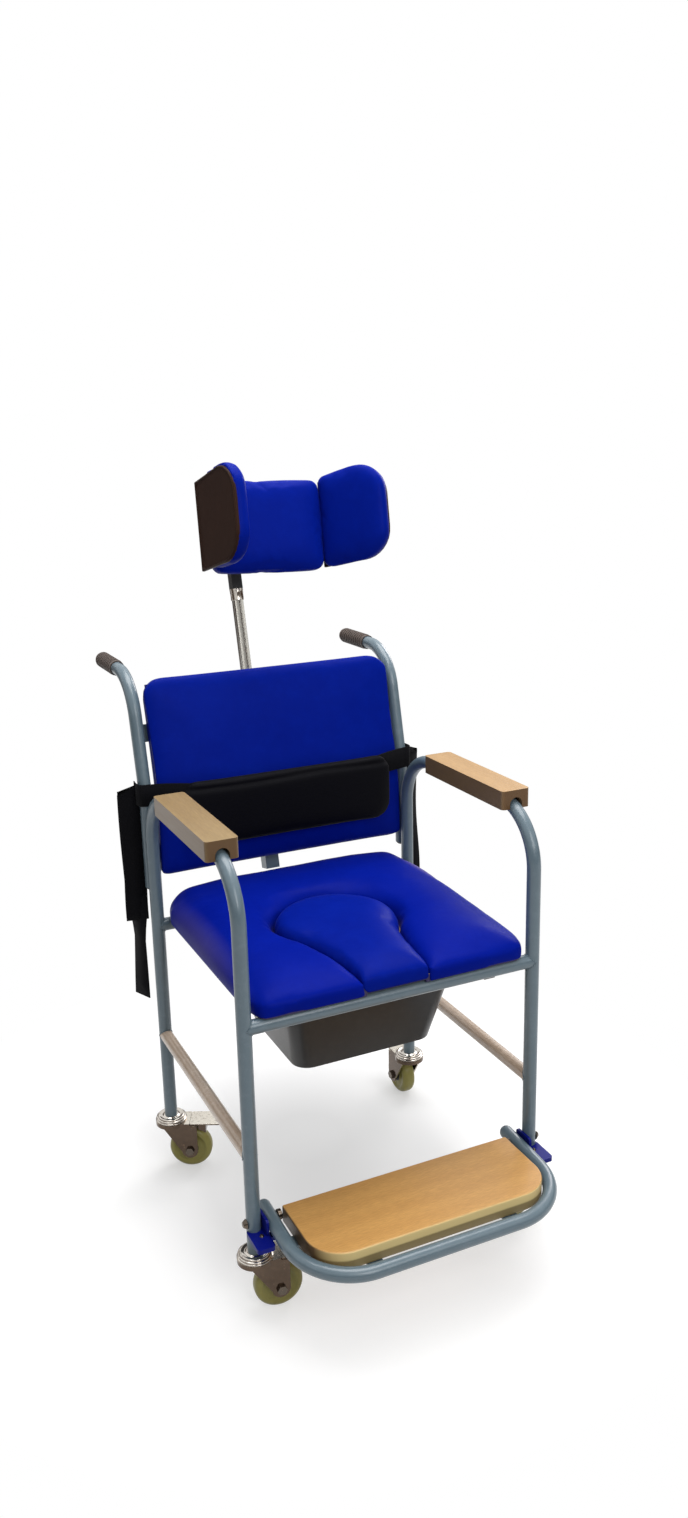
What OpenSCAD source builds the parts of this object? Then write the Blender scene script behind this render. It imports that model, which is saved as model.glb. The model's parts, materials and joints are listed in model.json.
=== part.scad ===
// Positioning commode chair: bent tube frame on braked swivel casters, padded seat with a keyhole
// opening and lift-out infill, sliding pan, flip-up footrest, padded back, headrest and chest belt.
// Millimetres, +Z up, the sitter faces -Y. The frame is centred between its outermost points.

/* [Side frames] */
// Outside diameter of the bent steel tubes
tube_d = 22; // [18:1:28]
// Wall thickness of the tubes
tube_wall = 1.5; // [1:0.25:3]
// Distance between the centre lines of the side frames
frame_w = 480; // [420:5:540]
// Distance between the front and rear legs
leg_span = 412; // [360:2:460]
// Height of the lower ends of the legs
leg_end_z = 100; // [90:1:120]
// Height of the arm tube
arm_z = 702; // [650:2:750]
// Bend radius at the corners of the arm
bend_r = 92; // [60:1:120]
// Height of the two seat rails
rail_z = 461; // [430:1:500]
// Height of the side stretchers
stretcher_z = 257; // [200:1:320]

/* [Arm pads] */
// Width of an arm pad
arm_pad_w = 50; // [40:1:70]
// Height of an arm pad
arm_pad_h = 30; // [24:1:40]
// Height of the top of an arm pad
arm_pad_top = 725; // [720:1:730]
// Start of the arm pad behind the front leg
arm_pad_front = 52; // [30:1:90]
// Length of an arm pad
arm_pad_l = 248; // [180:2:280]
// Corner radius of an arm pad
arm_pad_r = 6; // [2:1:12]

/* [Push handles] */
// Height of the lower ends of the uprights
upright_low_z = 525; // [500:5:560]
// Height at which the uprights start to lean
lean_z = 681; // [660:1:700]
// Lean of the back in degrees
lean = 13.2; // [5:0.1:20]
// Radius of the slight bend at the start of the lean
kink_r = 120; // [80:5:200]
// Height of the push handles
handle_z = 880; // [840:2:920]
// Bend radius below the push handles
handle_r = 85; // [60:1:100]
// Distance the push handles reach behind the rear legs
handle_out = 253; // [230:1:290]
// Length of a grip
grip_l = 102; // [80:1:130]
// Diameter over the ribs of a grip
grip_d = 28; // [26:1:34]
// Width of one grip rib
grip_rib = 4; // [2:0.5:8]
// Thickness of the closed end of a grip
grip_cap = 8; // [4:1:12]

/* [Back] */
// Height of the lower edge of the back pad
back_low_z = 541; // [520:1:580]
// Height of the upper edge of the back pad
back_top_z = 876; // [820:1:880]
// Gap between the back pad and an upright
back_gap = 2; // [1:0.5:10]
// Radius of the upper corners of the back pad
back_corner_r = 33; // [15:1:60]
// Radius of the lower corners of the back pad
back_low_r = 9; // [5:1:60]
// Thickness of the back board
back_board_t = 12; // [8:1:15]
// Width of the board inside the upholstery
back_board_inset = 12; // [5:1:20]
// Thickness of the back cushion in the middle
back_cushion_t = 24; // [15:1:40]
// Width of the flat cross straps
strap_bar_w = 30; // [20:1:40]
// Thickness of the flat cross straps
strap_bar_t = 5; // [3:0.5:8]
// Height of the lower cross strap
low_bar_z = 578; // [550:1:620]
// Distance of the upper cross strap above the start of the lean
high_bar_s = 108; // [80:1:125]

/* [Seat] */
// Gap between the seat and the inside of a leg
seat_gap = 3; // [2:0.5:10]
// Distance the seat reaches in front of the front legs
seat_front = 18; // [0:1:40]
// Distance the seat reaches behind the rear legs
seat_over = 16; // [0:1:18]
// Thickness of the seat board
seat_board_t = 12; // [9:1:15]
// Height of the upholstery above the underside of the board, in the middle
seat_h = 54; // [35:1:70]
// Radius of the front corners of the seat
seat_front_r = 26; // [10:1:60]
// Radius of the rear corners of the seat
seat_rear_r = 42; // [10:1:80]
// Thickness of the upholstery round the board
seat_skirt = 8; // [4:1:12]
// Sideways position of the keyhole
key_x = -3; // [-10:1:10]
// Distance from the front legs to the centre of the keyhole
key_y = 185; // [160:1:220]
// Radius of the round part of the keyhole
key_r = 100; // [80:1:120]
// Half width of the neck where it meets the round part
neck_wide = 80; // [60:1:85]
// Half width of the neck at the front legs
neck_narrow = 57; // [45:1:70]
// Distance from the front legs to where the neck meets the round part
neck_y = 130; // [100:1:140]
// Width of the ledge that carries the infill
key_ledge = 8; // [5:1:15]
// Thickness of that ledge
key_ledge_t = 4; // [3:0.5:6]
// Gap round the infill cushion
infill_gap = 3; // [1:0.5:8]

/* [Pan] */
// Height of the pan's underside
pan_low_z = 312; // [290:1:340]
// Half width of the pan at the bottom
pan_low_w = 120; // [80:1:130]
// Half width of the pan at the top
pan_top_w = 144; // [110:1:155]
// Length of the pan at the bottom
pan_low_l = 204; // [160:2:240]
// Length of the pan at the top
pan_top_l = 278; // [240:2:300]
// Distance of the pan's middle in front of the middle between the legs
pan_shift = 5; // [0:1:20]
// Distance from the front legs to the front edge of the pan's rim
pan_rim_front = 24; // [15:1:60]
// Corner radius of the pan
pan_r = 28; // [15:1:50]
// Wall thickness of the pan
pan_wall = 3; // [2:0.5:5]
// Half width over the pan's side flanges
pan_flange_w = 165; // [150:1:180]
// Half width over the pan runners
runner_w = 172; // [160:1:190]
// Depth of a runner
runner_h = 15; // [12:1:24]
// Sheet thickness of a runner
runner_t = 3; // [2:0.5:4]
// Width of the flanges of a runner
runner_flange = 19; // [12:1:22]
// Distance from the legs to where a runner's web begins
runner_in = 26; // [15:1:40]

/* [Footrest] */
// Gap between the footrest tube and a front leg
foot_gap = 4.3; // [3:0.1:8]
// Distance from the front legs to the footrest's front tube
foot_l = 164.9; // [140:1:220]
// Corner radius of the footrest tube
foot_r = 96.5; // [60:1:110]
// Distance the footrest tube reaches behind its pivots
foot_tail = 25; // [14:1:30]
// Height of the footrest's pivots
pivot_z = 147.8; // [140:1:170]
// Downward slope of the footrest tube in degrees
foot_slope = 3.72; // [0:0.1:10]
// Gap between the footrest board and its side tubes
foot_board_gap = 7.8; // [7:0.1:30]
// Front edge of the footrest board from the front legs
foot_board_front = 143; // [110:1:145]
// Rear edge of the footrest board from the front legs
foot_board_back = 0; // [0:1:20]
// Height of the top of the footrest board
foot_board_z = 162; // [155:1:170]
// Thickness of the footrest board
foot_board_t = 28; // [20:1:30]
// Corner radius of the footrest board
foot_board_r = 56; // [30:1:70]
// Thickness of the tabs under the board
tab_t = 3; // [2:0.5:5]
// Width of a tab
tab_w = 24; // [15:1:40]
// Distance from the legs to the side tabs
tab_y = 38; // [25:1:60]
// Distance of the front tabs from the middle
tab_x = 112; // [80:1:116]
// Diameter of the pivot bolts
pivot_d = 8; // [6:0.5:12]
// Thickness of the plate between the footrest tube and a leg
spacer_t = 4; // [2:0.5:6]
// Height of that plate
spacer_h = 35; // [25:1:40]
// Length of that plate
spacer_l = 39; // [30:1:45]
// Length of the stop tongue in front of a leg's centre
tongue_l = 52; // [35:1:60]
// Width of the stop tongue
tongue_w = 28; // [22:1:34]
// Thickness of the stop tongue
tongue_t = 7; // [4:0.5:8]
// Corner radius of the stop tongue
tongue_r = 6; // [2:1:10]

/* [Casters] */
// Diameter of a wheel
wheel_d = 75; // [60:1:100]
// Width of a wheel's tread
wheel_w = 26; // [18:1:32]
// Offset of the wheel's axle from the swivel axis
trail = 33; // [20:1:45]
// Diameter of the axle bolts
axle_d = 8; // [6:0.5:10]
// Thickness of the fork's sheet
fork_t = 3; // [2:0.5:4]
// Width over the cheeks of a fork
fork_w = 42; // [38:1:48]
// Diameter of the swivel's cover
dome_d = 55; // [44:1:60]
// Direction of the front left wheel in degrees from +X
front_left_turn = -5; // [-180:1:180]
// Direction of the rear left wheel
rear_left_turn = -26; // [-180:1:180]
// Direction of the rear right wheel
rear_right_turn = 90; // [-180:1:180]
// Direction of the front right wheel
front_right_turn = 150; // [-180:1:180]

/* [Headrest] */
// Sideways position of the headrest post
post_x = -12; // [-30:1:30]
// Distance of the post behind the uprights at the height of the lean
post_set = 67.6; // [56:0.1:86]
// Outside width of the square post
post_w = 25; // [20:1:30]
// Height of the post's lower end
post_low_z = 509; // [490:1:540]
// Height of the post's upper end
post_top_z = 845; // [820:1:880]
// Width of the square stem
stem_w = 16; // [14:1:22]
// Height of the stem's upper end
stem_top_z = 1075; // [1050:1:1080]
// Length of the stem
stem_l = 400; // [380:5:420]
// Height of the collar on the stem
collar_z = 978; // [950:1:1000]
// Height of the collar's stack of rings
collar_h = 20; // [12:1:30]
// Height of the headrest's middle
head_z = 1117.5; // [1060:0.5:1160]
// Distance of the headrest's front face in front of the post
head_set = 68.1; // [40:0.1:90]
// Recline of the headrest in degrees
head_tilt = 12.5; // [0:0.5:25]
// Sideways drop of the headrest towards +X in degrees
head_roll = 1.9; // [-3:0.1:3]
// Half width of the centre pad
head_half_w = 98; // [70:1:100]
// Half height of the centre pad
head_half_h = 76; // [50:0.5:90]
// Thickness of the centre cushion in the middle
head_cushion_t = 30; // [20:1:40]
// Thickness of the headrest boards
head_board_t = 10; // [6:1:14]
// Distance of the wing hinges from the middle
hinge_x = 104; // [100:1:120]
// Distance of the wing hinges behind the front face
hinge_y = 22; // [15:1:26]
// Height of a wing's rear edge above the middle of the centre pad
wing_up = 75; // [50:1:85]
// Depth of a wing's rear edge below the middle of the centre pad
wing_down = 70; // [50:1:80]
// Height of a wing's front above the middle of the centre pad
wing_front_up = 86; // [60:1:95]
// Depth of a wing's front below the middle of the centre pad
wing_front_down = 66; // [50:1:80]
// Length of a wing in front of its hinge
wing_l = 121; // [90:1:130]
// Distance a wing reaches behind its hinge
wing_tail = 5; // [4:0.5:5]
// Radius of a wing's upper front corner
wing_r = 46; // [20:1:60]
// Radius of a wing's lower front corner
wing_low_r = 50; // [20:1:60]
// Thickness of a wing board
wing_board_t = 6; // [5:0.5:10]
// Thickness of a wing cushion in the middle
wing_cushion_t = 26; // [15:1:35]
// Outward turn of the left wing in degrees
left_wing_angle = -10.5; // [-15:0.5:50]
// Outward turn of the right wing in degrees
right_wing_angle = 41; // [0:0.5:50]
// Start of the left wing's cushion in front of its hinge
left_pad_start = 32; // [30:1:60]
// Start of the right wing's cushion in front of its hinge
right_pad_start = 10; // [8:1:40]

/* [Belt] */
// Half width of the belt pad
belt_half_w = 193; // [150:1:200]
// Height of the middle of the belt pad
belt_z = 650; // [600:1:700]
// Half height of the belt pad
belt_half_h = 60; // [40:1:80]
// Thickness of the belt pad
belt_t = 22; // [12:1:30]
// Distance of the belt pad's rear face in front of the uprights
belt_set = 27; // [26:1:40]
// Width of the webbing
web_w = 38; // [25:1:50]
// Thickness of the webbing
web_t = 1.6; // [1:0.2:3]
// Distance the hanging webbing reaches outside the side frames
web_out = 42; // [35:1:50]
// Height of the webbing where it leaves the upright
web_top_z = 690; // [670:1:706]
// Turn of the hanging webbing in degrees
web_turn = 21; // [0:1:60]
// Height of the lower end of the long left layer
web_long_z = 322; // [300:1:400]
// Height of the lower end of the short left layer
web_short_z = 464; // [440:1:520]
// Height of the lower end of the right webbing
web_right_z = 452; // [430:1:520]

/* [Colours] */
frame_color = [0.62, 0.68, 0.71];
vinyl_color = [0.03, 0.08, 0.55];
brown_color = [0.33, 0.2, 0.13];
wood_color = [0.8, 0.63, 0.4];
black_color = [0.04, 0.04, 0.05];
chrome_color = [0.75, 0.76, 0.78];
pan_color = [0.2, 0.21, 0.23];
blue_color = [0.05, 0.07, 0.4];
wheel_color = [0.6, 0.6, 0.48];

/* [Hidden] */
$fn = 64;
tube_r = tube_d / 2;
bore_r = tube_r - tube_wall;
side_x = frame_w / 2;
// Radial clearance of every turning pin
run_gap = 0.05;
// Gap between faces of pieces that move past each other
face_gap = 0.3;
// Overrun of every cutter past the face it opens
over = 2;
// Hairline between faces that would otherwise only just touch
hairline = 0.02;
// A quarter turn
quarter = 90;
front_reach = foot_l * cos(foot_slope) + tube_r;
grip_end = leg_span + handle_out;
mid_y = (grip_end - front_reach) / 2;
seat_z = rail_z + tube_r;

// Puts a piece measured from the front legs into the part's frame
module place() translate([0, -mid_y, 0]) children();

// One or both sides of a symmetric pair
module both() for (side = [-1, 1]) scale([side, 1, 1]) children();

// A round bar or tube between two points
module rod(p, q, r) {
    v = q - p;
    translate(p)
        rotate([0, acos(v[2] / norm(v)), atan2(v[1], v[0])])
            cylinder(h = norm(v), r = r);
}

// A quarter or smaller bend in the plane of a side frame, from one angle to another
module side_bend(y, z, bend, start, sweep, r)
    translate([0, y, z])
        rotate([quarter, 0, quarter])
            rotate([0, 0, start])
                rotate_extrude(angle = sweep)
                    translate([bend, 0])
                        circle(r = r);

// A plate with rounded corners, centred, in the XY plane
module round_rect(hx, hy, r) {
    square([2 * hx, 2 * (hy - r)], center = true);
    square([2 * (hx - r), 2 * hy], center = true);
    for (sx = [-1, 1], sy = [-1, 1]) translate([sx * (hx - r), sy * (hy - r)]) circle(r = r);
}

// Casters
caster_top = leg_end_z;
dome_h = 9;
dome_step_h = dome_h / 3;
dome_step_r = 2.5;
dome_round = 1.5;
king_r = 5;
king_head_r = 9;
king_head_h = 3;
plug_l = 24;
dome_z = caster_top - dome_h;
fork_top = dome_z - face_gap;
fork_under = fork_top - fork_t;
skirt_h = 4;
skirt_z = fork_under - skirt_h;
wheel_r = wheel_d / 2;
axle_r = axle_d / 2;
cheek_out = fork_w / 2;
cheek_in = cheek_out - fork_t;
hub_half = cheek_in - face_gap;
cheek_end_r = 14;
cheek_back = trail + cheek_end_r;
cheek_front = 17;
cheek_drop = 5;
crown_end = 34;
hub_r = 14;
tread_edge = 4;
pedal_axis_x = 38;
pedal_axis_z = 79.5;
pedal_pin_r = 2.5;
pedal_t = 2.5;
pedal_end = 88;
pedal_r = 3;
ear_t = 2.7;
ear_low = 76.5;
ear_back = 42;
shoe_half = 12;
shoe_near = 48;
shoe_far = 62;
shoe_near_z = 74.5;
shoe_far_z = 68;
bolt_head_h = 5;
pedal_near = crown_end + face_gap;
pedal_z = fork_top - pedal_t;

caster_spots = [[-side_x, 0, front_left_turn], [side_x, 0, front_right_turn],
    [-side_x, leg_span, rear_left_turn], [side_x, leg_span, rear_right_turn]];

// Puts a piece into the frame of one caster, its wheel trailing along +X
module at_caster(i)
    place() translate([caster_spots[i][0], caster_spots[i][1], 0])
        rotate([0, 0, caster_spots[i][2]]) children();

module caster_mounts() color(chrome_color) for (i = [0:3]) at_caster(i) {
    for (k = [0:2])
        translate([0, 0, dome_z + k * dome_step_h])
            cylinder(h = dome_step_h, r1 = dome_d / 2 - k * dome_step_r,
                r2 = dome_d / 2 - (k + 1) * dome_step_r + dome_round);
    translate([0, 0, caster_top]) cylinder(h = plug_l, r = bore_r);
    translate([0, 0, fork_under - king_head_h]) cylinder(h = dome_h + king_head_h + fork_t, r = king_r);
    translate([0, 0, fork_under - face_gap - king_head_h]) cylinder(h = king_head_h, r = king_head_r);
}

// A fork: round top with a turned-down rim, crown plate, and two cheeks
module fork(i) color(chrome_color) at_caster(i) difference() {
    union() {
        difference() {
            translate([0, 0, skirt_z]) cylinder(h = fork_top - skirt_z, r = dome_d / 2);
            translate([0, 0, skirt_z - over])
                cylinder(h = fork_under - skirt_z + over, r = dome_d / 2 - fork_t);
        }
        translate([0, -cheek_out, fork_under]) cube([crown_end, fork_w, fork_t]);
        for (s = [-1, 1])
            translate([0, s * (cheek_in + fork_t / 2) + fork_t / 2, 0])
                rotate([quarter, 0, 0])
                    linear_extrude(fork_t) {
                        polygon([[-cheek_front, fork_top], [crown_end, fork_top],
                            [crown_end, fork_under - face_gap], [cheek_back, fork_top - cheek_drop],
                            [cheek_back, wheel_r], [trail, wheel_r - cheek_end_r / 2],
                            [trail - cheek_end_r, wheel_r - dome_round]]);
                        translate([trail, wheel_r]) circle(r = cheek_end_r);
                    }
    }
    translate([0, 0, fork_under - over]) cylinder(h = fork_t + 2 * over, r = king_r + run_gap);
    cheek_bore(trail, wheel_r, axle_r);
    cheek_bore(pedal_axis_x, pedal_axis_z, pedal_pin_r + run_gap);
}

// A bore through both cheeks of a fork
module cheek_bore(x, z, r)
    translate([x, cheek_out + over, z]) rotate([quarter, 0, 0]) cylinder(h = 2 * (cheek_out + over), r = r);

module wheel(i) color(wheel_color) at_caster(i)
    translate([trail, 0, wheel_r]) rotate([quarter, 0, 0]) difference() {
        union() {
            translate([0, 0, -wheel_w / 2 + tread_edge]) cylinder(h = wheel_w - 2 * tread_edge, r = wheel_r);
            for (s = [0, 1]) mirror([0, 0, s]) translate([0, 0, wheel_w / 2 - tread_edge])
                cylinder(h = tread_edge, r1 = wheel_r, r2 = wheel_r - tread_edge);
            translate([0, 0, -hub_half]) cylinder(h = 2 * hub_half, r = hub_r);
        }
        translate([0, 0, -hub_half - over]) cylinder(h = 2 * (hub_half + over), r = axle_r + run_gap);
    }

module axle(i) color(chrome_color) at_caster(i) translate([trail, 0, wheel_r]) rotate([quarter, 0, 0]) {
    translate([0, 0, -cheek_out]) cylinder(h = 2 * cheek_out, r = axle_r);
    for (s = [0, 1]) mirror([0, 0, s]) translate([0, 0, cheek_out])
        cylinder(h = bolt_head_h, r = axle_d - run_gap, $fn = 6);
}

// A brake pedal: plate, two ears on a pin through the cheeks, and a shoe above the tread
module pedal(i) color(chrome_color) at_caster(i) {
    translate([(pedal_near + pedal_end) / 2, 0, pedal_z])
        linear_extrude(pedal_t) round_rect((pedal_end - pedal_near) / 2, cheek_out, pedal_r);
    for (s = [-1, 1])
        translate([pedal_near, s * (cheek_in - face_gap - ear_t / 2) - ear_t / 2, ear_low])
            cube([ear_back - pedal_near, ear_t, pedal_z + pedal_t / 2 - ear_low]);
    translate([pedal_axis_x, cheek_out, pedal_axis_z])
        rotate([quarter, 0, 0]) cylinder(h = fork_w, r = pedal_pin_r);
    translate([0, shoe_half, 0]) rotate([quarter, 0, 0]) linear_extrude(2 * shoe_half)
        polygon([[shoe_near, pedal_z + pedal_t / 2], [shoe_far, pedal_z + pedal_t / 2],
            [shoe_far, shoe_far_z], [shoe_near, shoe_near_z]]);
}

// Side frames
arc_z = arm_z - bend_r;

// One side frame's tube path, legs lengthened downwards by extra
module side_path(r, extra) {
    for (y = [0, leg_span])
        translate([0, y, leg_end_z - extra]) cylinder(h = arc_z - leg_end_z + extra, r = r);
    translate([0, leg_span - bend_r, arm_z])
        rotate([quarter, 0, 0]) cylinder(h = leg_span - 2 * bend_r, r = r);
    side_bend(bend_r, arc_z, bend_r, quarter, quarter, r);
    side_bend(leg_span - bend_r, arc_z, bend_r, 0, quarter, r);
}

module side_frame(side) place() color(frame_color) translate([side * side_x, 0, 0]) difference() {
    side_path(tube_r, 0);
    side_path(bore_r, over);
    translate([-tube_r - over, 0, pivot_z])
        rotate([0, quarter, 0]) cylinder(h = 2 * (tube_r + over), r = pivot_d / 2);
}
module left_side_frame() side_frame(-1);
module right_side_frame() side_frame(1);

// A hollow tube across the chair, coped round both side frames
module cross_rail(y, z) difference() {
    translate([-side_x, y, z]) rotate([0, quarter, 0]) cylinder(h = frame_w, r = tube_r);
    translate([-side_x - over, y, z]) rotate([0, quarter, 0]) cylinder(h = frame_w + 2 * over, r = bore_r);
    for (side = [-1, 1])
        translate([side * side_x, y, z - 2 * tube_d]) cylinder(h = 2 * 2 * tube_d, r = tube_r);
}
module cross_rails() place() color(frame_color) {
    cross_rail(0, rail_z);
    cross_rail(leg_span, rail_z);
}

module side_stretchers() place() color(frame_color) both() difference() {
    translate([side_x, leg_span, stretcher_z]) rotate([quarter, 0, 0]) cylinder(h = leg_span, r = tube_r);
    translate([side_x, leg_span + over, stretcher_z])
        rotate([quarter, 0, 0]) cylinder(h = leg_span + 2 * over, r = bore_r);
    for (y = [0, leg_span])
        translate([side_x, y, stretcher_z - 2 * tube_d]) cylinder(h = 2 * 2 * tube_d, r = tube_r);
}

// Uprights with push handles
upright_y = leg_span + tube_d;
kink_run = kink_r * tan(lean / 2);
handle_run = handle_r * tan((quarter - lean) / 2);
lean_top = (handle_z - lean_z) / cos(lean);
handle_y = upright_y + lean_top * sin(lean);
tube_end = grip_end - grip_cap;

// A point on the leaning line, at distance s above the start of the lean
function on_lean(s) = [0, upright_y + s * sin(lean), lean_z + s * cos(lean)];

module ring() difference() {
    circle(r = tube_r);
    circle(r = bore_r);
}
module tube_bend(y, z, bend, start, sweep)
    translate([0, y, z]) rotate([quarter, 0, quarter]) rotate([0, 0, start])
        rotate_extrude(angle = sweep) translate([bend, 0]) ring();

module upright(side) place() color(frame_color) translate([side * side_x, 0, 0]) {
    translate([0, upright_y, upright_low_z])
        linear_extrude(lean_z - kink_run - upright_low_z - hairline) ring();
    tube_bend(upright_y + kink_r, lean_z - kink_run, kink_r, 2 * quarter - lean, lean);
    translate(on_lean(kink_run + hairline)) rotate([-lean, 0, 0])
        linear_extrude(lean_top - handle_run - kink_run - 2 * hairline) ring();
    tube_bend(handle_y + handle_run, handle_z - handle_r, handle_r, quarter, quarter - lean);
    translate([0, tube_end, handle_z])
        rotate([quarter, 0, 0]) linear_extrude(tube_end - handle_y - handle_run - hairline) ring();
}
module left_upright() upright(-1);
module right_upright() upright(1);

cap_h = 4;
cap_r = 7.5;
module tube_plugs() place() color(black_color) both() translate([side_x, upright_y, 0]) {
    translate([0, 0, upright_low_z - cap_h]) cylinder(h = cap_h, r1 = cap_r, r2 = tube_r);
    translate([0, 0, upright_low_z]) cylinder(h = tube_r, r = bore_r);
}

grip_rib_count = floor((grip_l - grip_cap) / (2 * grip_rib));
grip_groove = 1;
grip_core_r = grip_d / 2 - grip_groove;
module grips() place() color(brown_color) both() translate([side_x, grip_end, handle_z])
    rotate([quarter, 0, 0]) difference() {
        union() {
            translate([0, 0, grip_cap / 2]) cylinder(h = grip_l - grip_cap / 2, r = grip_core_r);
            cylinder(h = grip_cap / 2, r1 = grip_core_r - grip_cap / 2, r2 = grip_core_r);
            for (k = [0:grip_rib_count - 1])
                translate([0, 0, grip_cap + 2 * grip_rib * k]) cylinder(h = grip_rib, r = grip_d / 2);
        }
        translate([0, 0, grip_cap]) cylinder(h = grip_l, r = tube_r);
    }

// Arm pads
arm_pad_z = arm_pad_top - arm_pad_h;
arm_screw_r = 3;
arm_screw_inset = 45;
arm_screw_h = 3;
arm_mid_y = arm_pad_front + arm_pad_l / 2;
module arm_pad(side) place() color(wood_color) translate([side * side_x, 0, 0]) difference() {
    translate([0, arm_mid_y, arm_pad_z])
        linear_extrude(arm_pad_h) round_rect(arm_pad_w / 2, arm_pad_l / 2, arm_pad_r);
    translate([0, arm_pad_front + arm_pad_l + over, arm_z])
        rotate([quarter, 0, 0]) cylinder(h = arm_pad_l + 2 * over, r = tube_r);
    translate([-tube_r, arm_pad_front - over, arm_pad_z - over])
        cube([tube_d, arm_pad_l + 2 * over, arm_z - arm_pad_z + over]);
    side_bend(bend_r, arc_z, bend_r, quarter, quarter, tube_r + run_gap);
}
module left_arm_pad() arm_pad(-1);
module right_arm_pad() arm_pad(1);

arm_screw_y = [bend_r + arm_screw_inset / 2, arm_mid_y + arm_pad_l / 2 - arm_screw_inset];
module arm_screws() place() color(chrome_color) both()
    for (y = arm_screw_y) translate([side_x, y, 0]) {
        translate([0, 0, arm_z - tube_r - arm_screw_h])
            cylinder(h = arm_screw_h + tube_r, r1 = arm_screw_r * 2, r2 = arm_screw_r / 2);
        translate([0, 0, arm_z - tube_r]) cylinder(h = tube_d + arm_screw_h, r = arm_screw_r / 2);
    }

// Back
back_half_w = side_x - tube_r - back_gap;
back_rear = -tube_r;
back_seam = back_rear + back_board_t;
low_reach = lean_z - back_low_z;
high_reach = (back_top_z - lean_z) / cos(lean);

// A point of the bent back: sideways, along the back from the start of the lean, and forward
function back_point(x, s, off) = s < 0 ? [x, upright_y - off, lean_z + s]
    : [x, upright_y + s * sin(lean) - off * cos(lean), lean_z + s * cos(lean) + off * sin(lean)];

module back_board() place() color(wood_color)
    rotate([quarter, 0, quarter])
        translate([0, 0, -back_half_w + back_board_inset])
            linear_extrude(2 * (back_half_w - back_board_inset))
                polygon([for (q = [[-low_reach + back_board_inset, back_rear], [0, back_rear],
                    [high_reach - back_board_inset, back_rear], [high_reach - back_board_inset, back_seam],
                    [0, back_seam], [-low_reach + back_board_inset, back_seam]])
                    let (p = back_point(0, q[0], q[1])) [p[1], p[2]]]);

// Corner points and side points of a rounded plate outline
corner_steps = 5;
side_steps = 5;
function corner_arc(c, r, start) =
    [for (i = [0:corner_steps]) let (a = start + quarter * i / corner_steps) c + r * [cos(a), sin(a)]];
function plate_corners(hx, hy, r) = [
    corner_arc([hx - r[0], hy - r[0]], r[0], 0), corner_arc([-hx + r[1], hy - r[1]], r[1], quarter),
    corner_arc([-hx + r[2], -hy + r[2]], r[2], 2 * quarter),
    corner_arc([hx - r[3], -hy + r[3]], r[3], 3 * quarter)];
function plate_outline(hx, hy, r) = let (c = plate_corners(hx, hy, r))
    [for (k = [0:3]) each concat(c[k], [for (j = [1:side_steps])
        let (a = c[k][corner_steps], b = c[(k + 1) % 4][0]) a + (b - a) * j / (side_steps + 1)])];

// Shares of the pad's smaller half size and of its thickness, from the base to the crown
crown_shares = [[0.01, 0], [0, 0.15], [0, 0.45], [0.02, 0.6],
    [0.06, 0.73], [0.15, 0.85], [0.32, 0.94], [0.58, 0.985]];
function shrunk(r, inset, least) = [for (q = r) max(q - inset, least)];
least_share = 0.02;
function pad_points(hx, hy, r, h) = let (m = min(hx, hy), least = m * least_share)
    [for (c = crown_shares) let (d = m * c[0])
        each [for (p = plate_outline(hx - d, hy - d, shrunk(r, d, least))) [p[0], p[1], h * c[1]]]];
function pad_faces(n, rings) = concat(
    [for (k = [0:rings - 2], i = [0:n - 1]) each [
        [k * n + i, (k + 1) * n + (i + 1) % n, k * n + (i + 1) % n],
        [k * n + i, (k + 1) * n + i, (k + 1) * n + (i + 1) % n]]],
    [for (i = [0:n - 1]) [rings * n, i, (i + 1) % n]],
    [for (i = [0:n - 1]) [rings * n + 1, (rings - 1) * n + (i + 1) % n, (rings - 1) * n + i]]);
outline_count = 4 * (corner_steps + 1 + side_steps);
pad_sides = pad_faces(outline_count, len(crown_shares));

// A crowned pad standing on the XY plane
module pad(hx, hy, r, h)
    polyhedron(points = concat(pad_points(hx, hy, r, h), [[0, 0, 0], [0, 0, h]]), faces = pad_sides);

back_radii = [back_corner_r, back_corner_r, back_low_r, back_low_r];
back_half_h = (low_reach + high_reach) / 2;
back_mid = (high_reach - low_reach) / 2;
// The cushion's flat rear face, and the reach inside which its outline point lies on the bend itself
back_face = back_seam + hairline;
back_snap = (back_half_h - (back_corner_r + back_low_r) / 2) / (side_steps + 1);
module back_cushion() place() color(vinyl_color)
    polyhedron(points = concat([for (p = pad_points(back_half_w, back_half_h, back_radii, back_cushion_t))
        let (s = p[1] + back_mid)
            back_point(p[0], p[2] == 0 && abs(s) < back_snap ? 0 : s, p[2] + back_face)],
        [back_point(0, 0, back_face), back_point(0, 0, back_face + back_cushion_t)]), faces = pad_sides);

// The headrest post leans like the upper back; its own frame has +Z along the post
post_low_s = (post_low_z - lean_z) / cos(lean);
post_top_s = (post_top_z - lean_z) / cos(lean);
post_y = upright_y + post_set;
cap_t = 3;
post_bore = stem_w + 2 * face_gap;
module at_post(s) translate([post_x, post_y, lean_z]) rotate([-lean, 0, 0]) translate([0, 0, s]) children();
module square_bar(w, h) translate([-w / 2, -w / 2, 0]) cube([w, w, h]);

module headrest_post() place() color(frame_color) at_post(post_low_s) difference() {
    square_bar(post_w, post_top_s - post_low_s);
    translate([0, 0, -over]) square_bar(post_bore, post_top_s - post_low_s + 2 * over);
    translate([0, 0, post_top_s - post_low_s - knob_drop])
        rotate([-quarter, 0, 0]) cylinder(h = post_w, r = knob_screw_r + run_gap);
}

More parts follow.
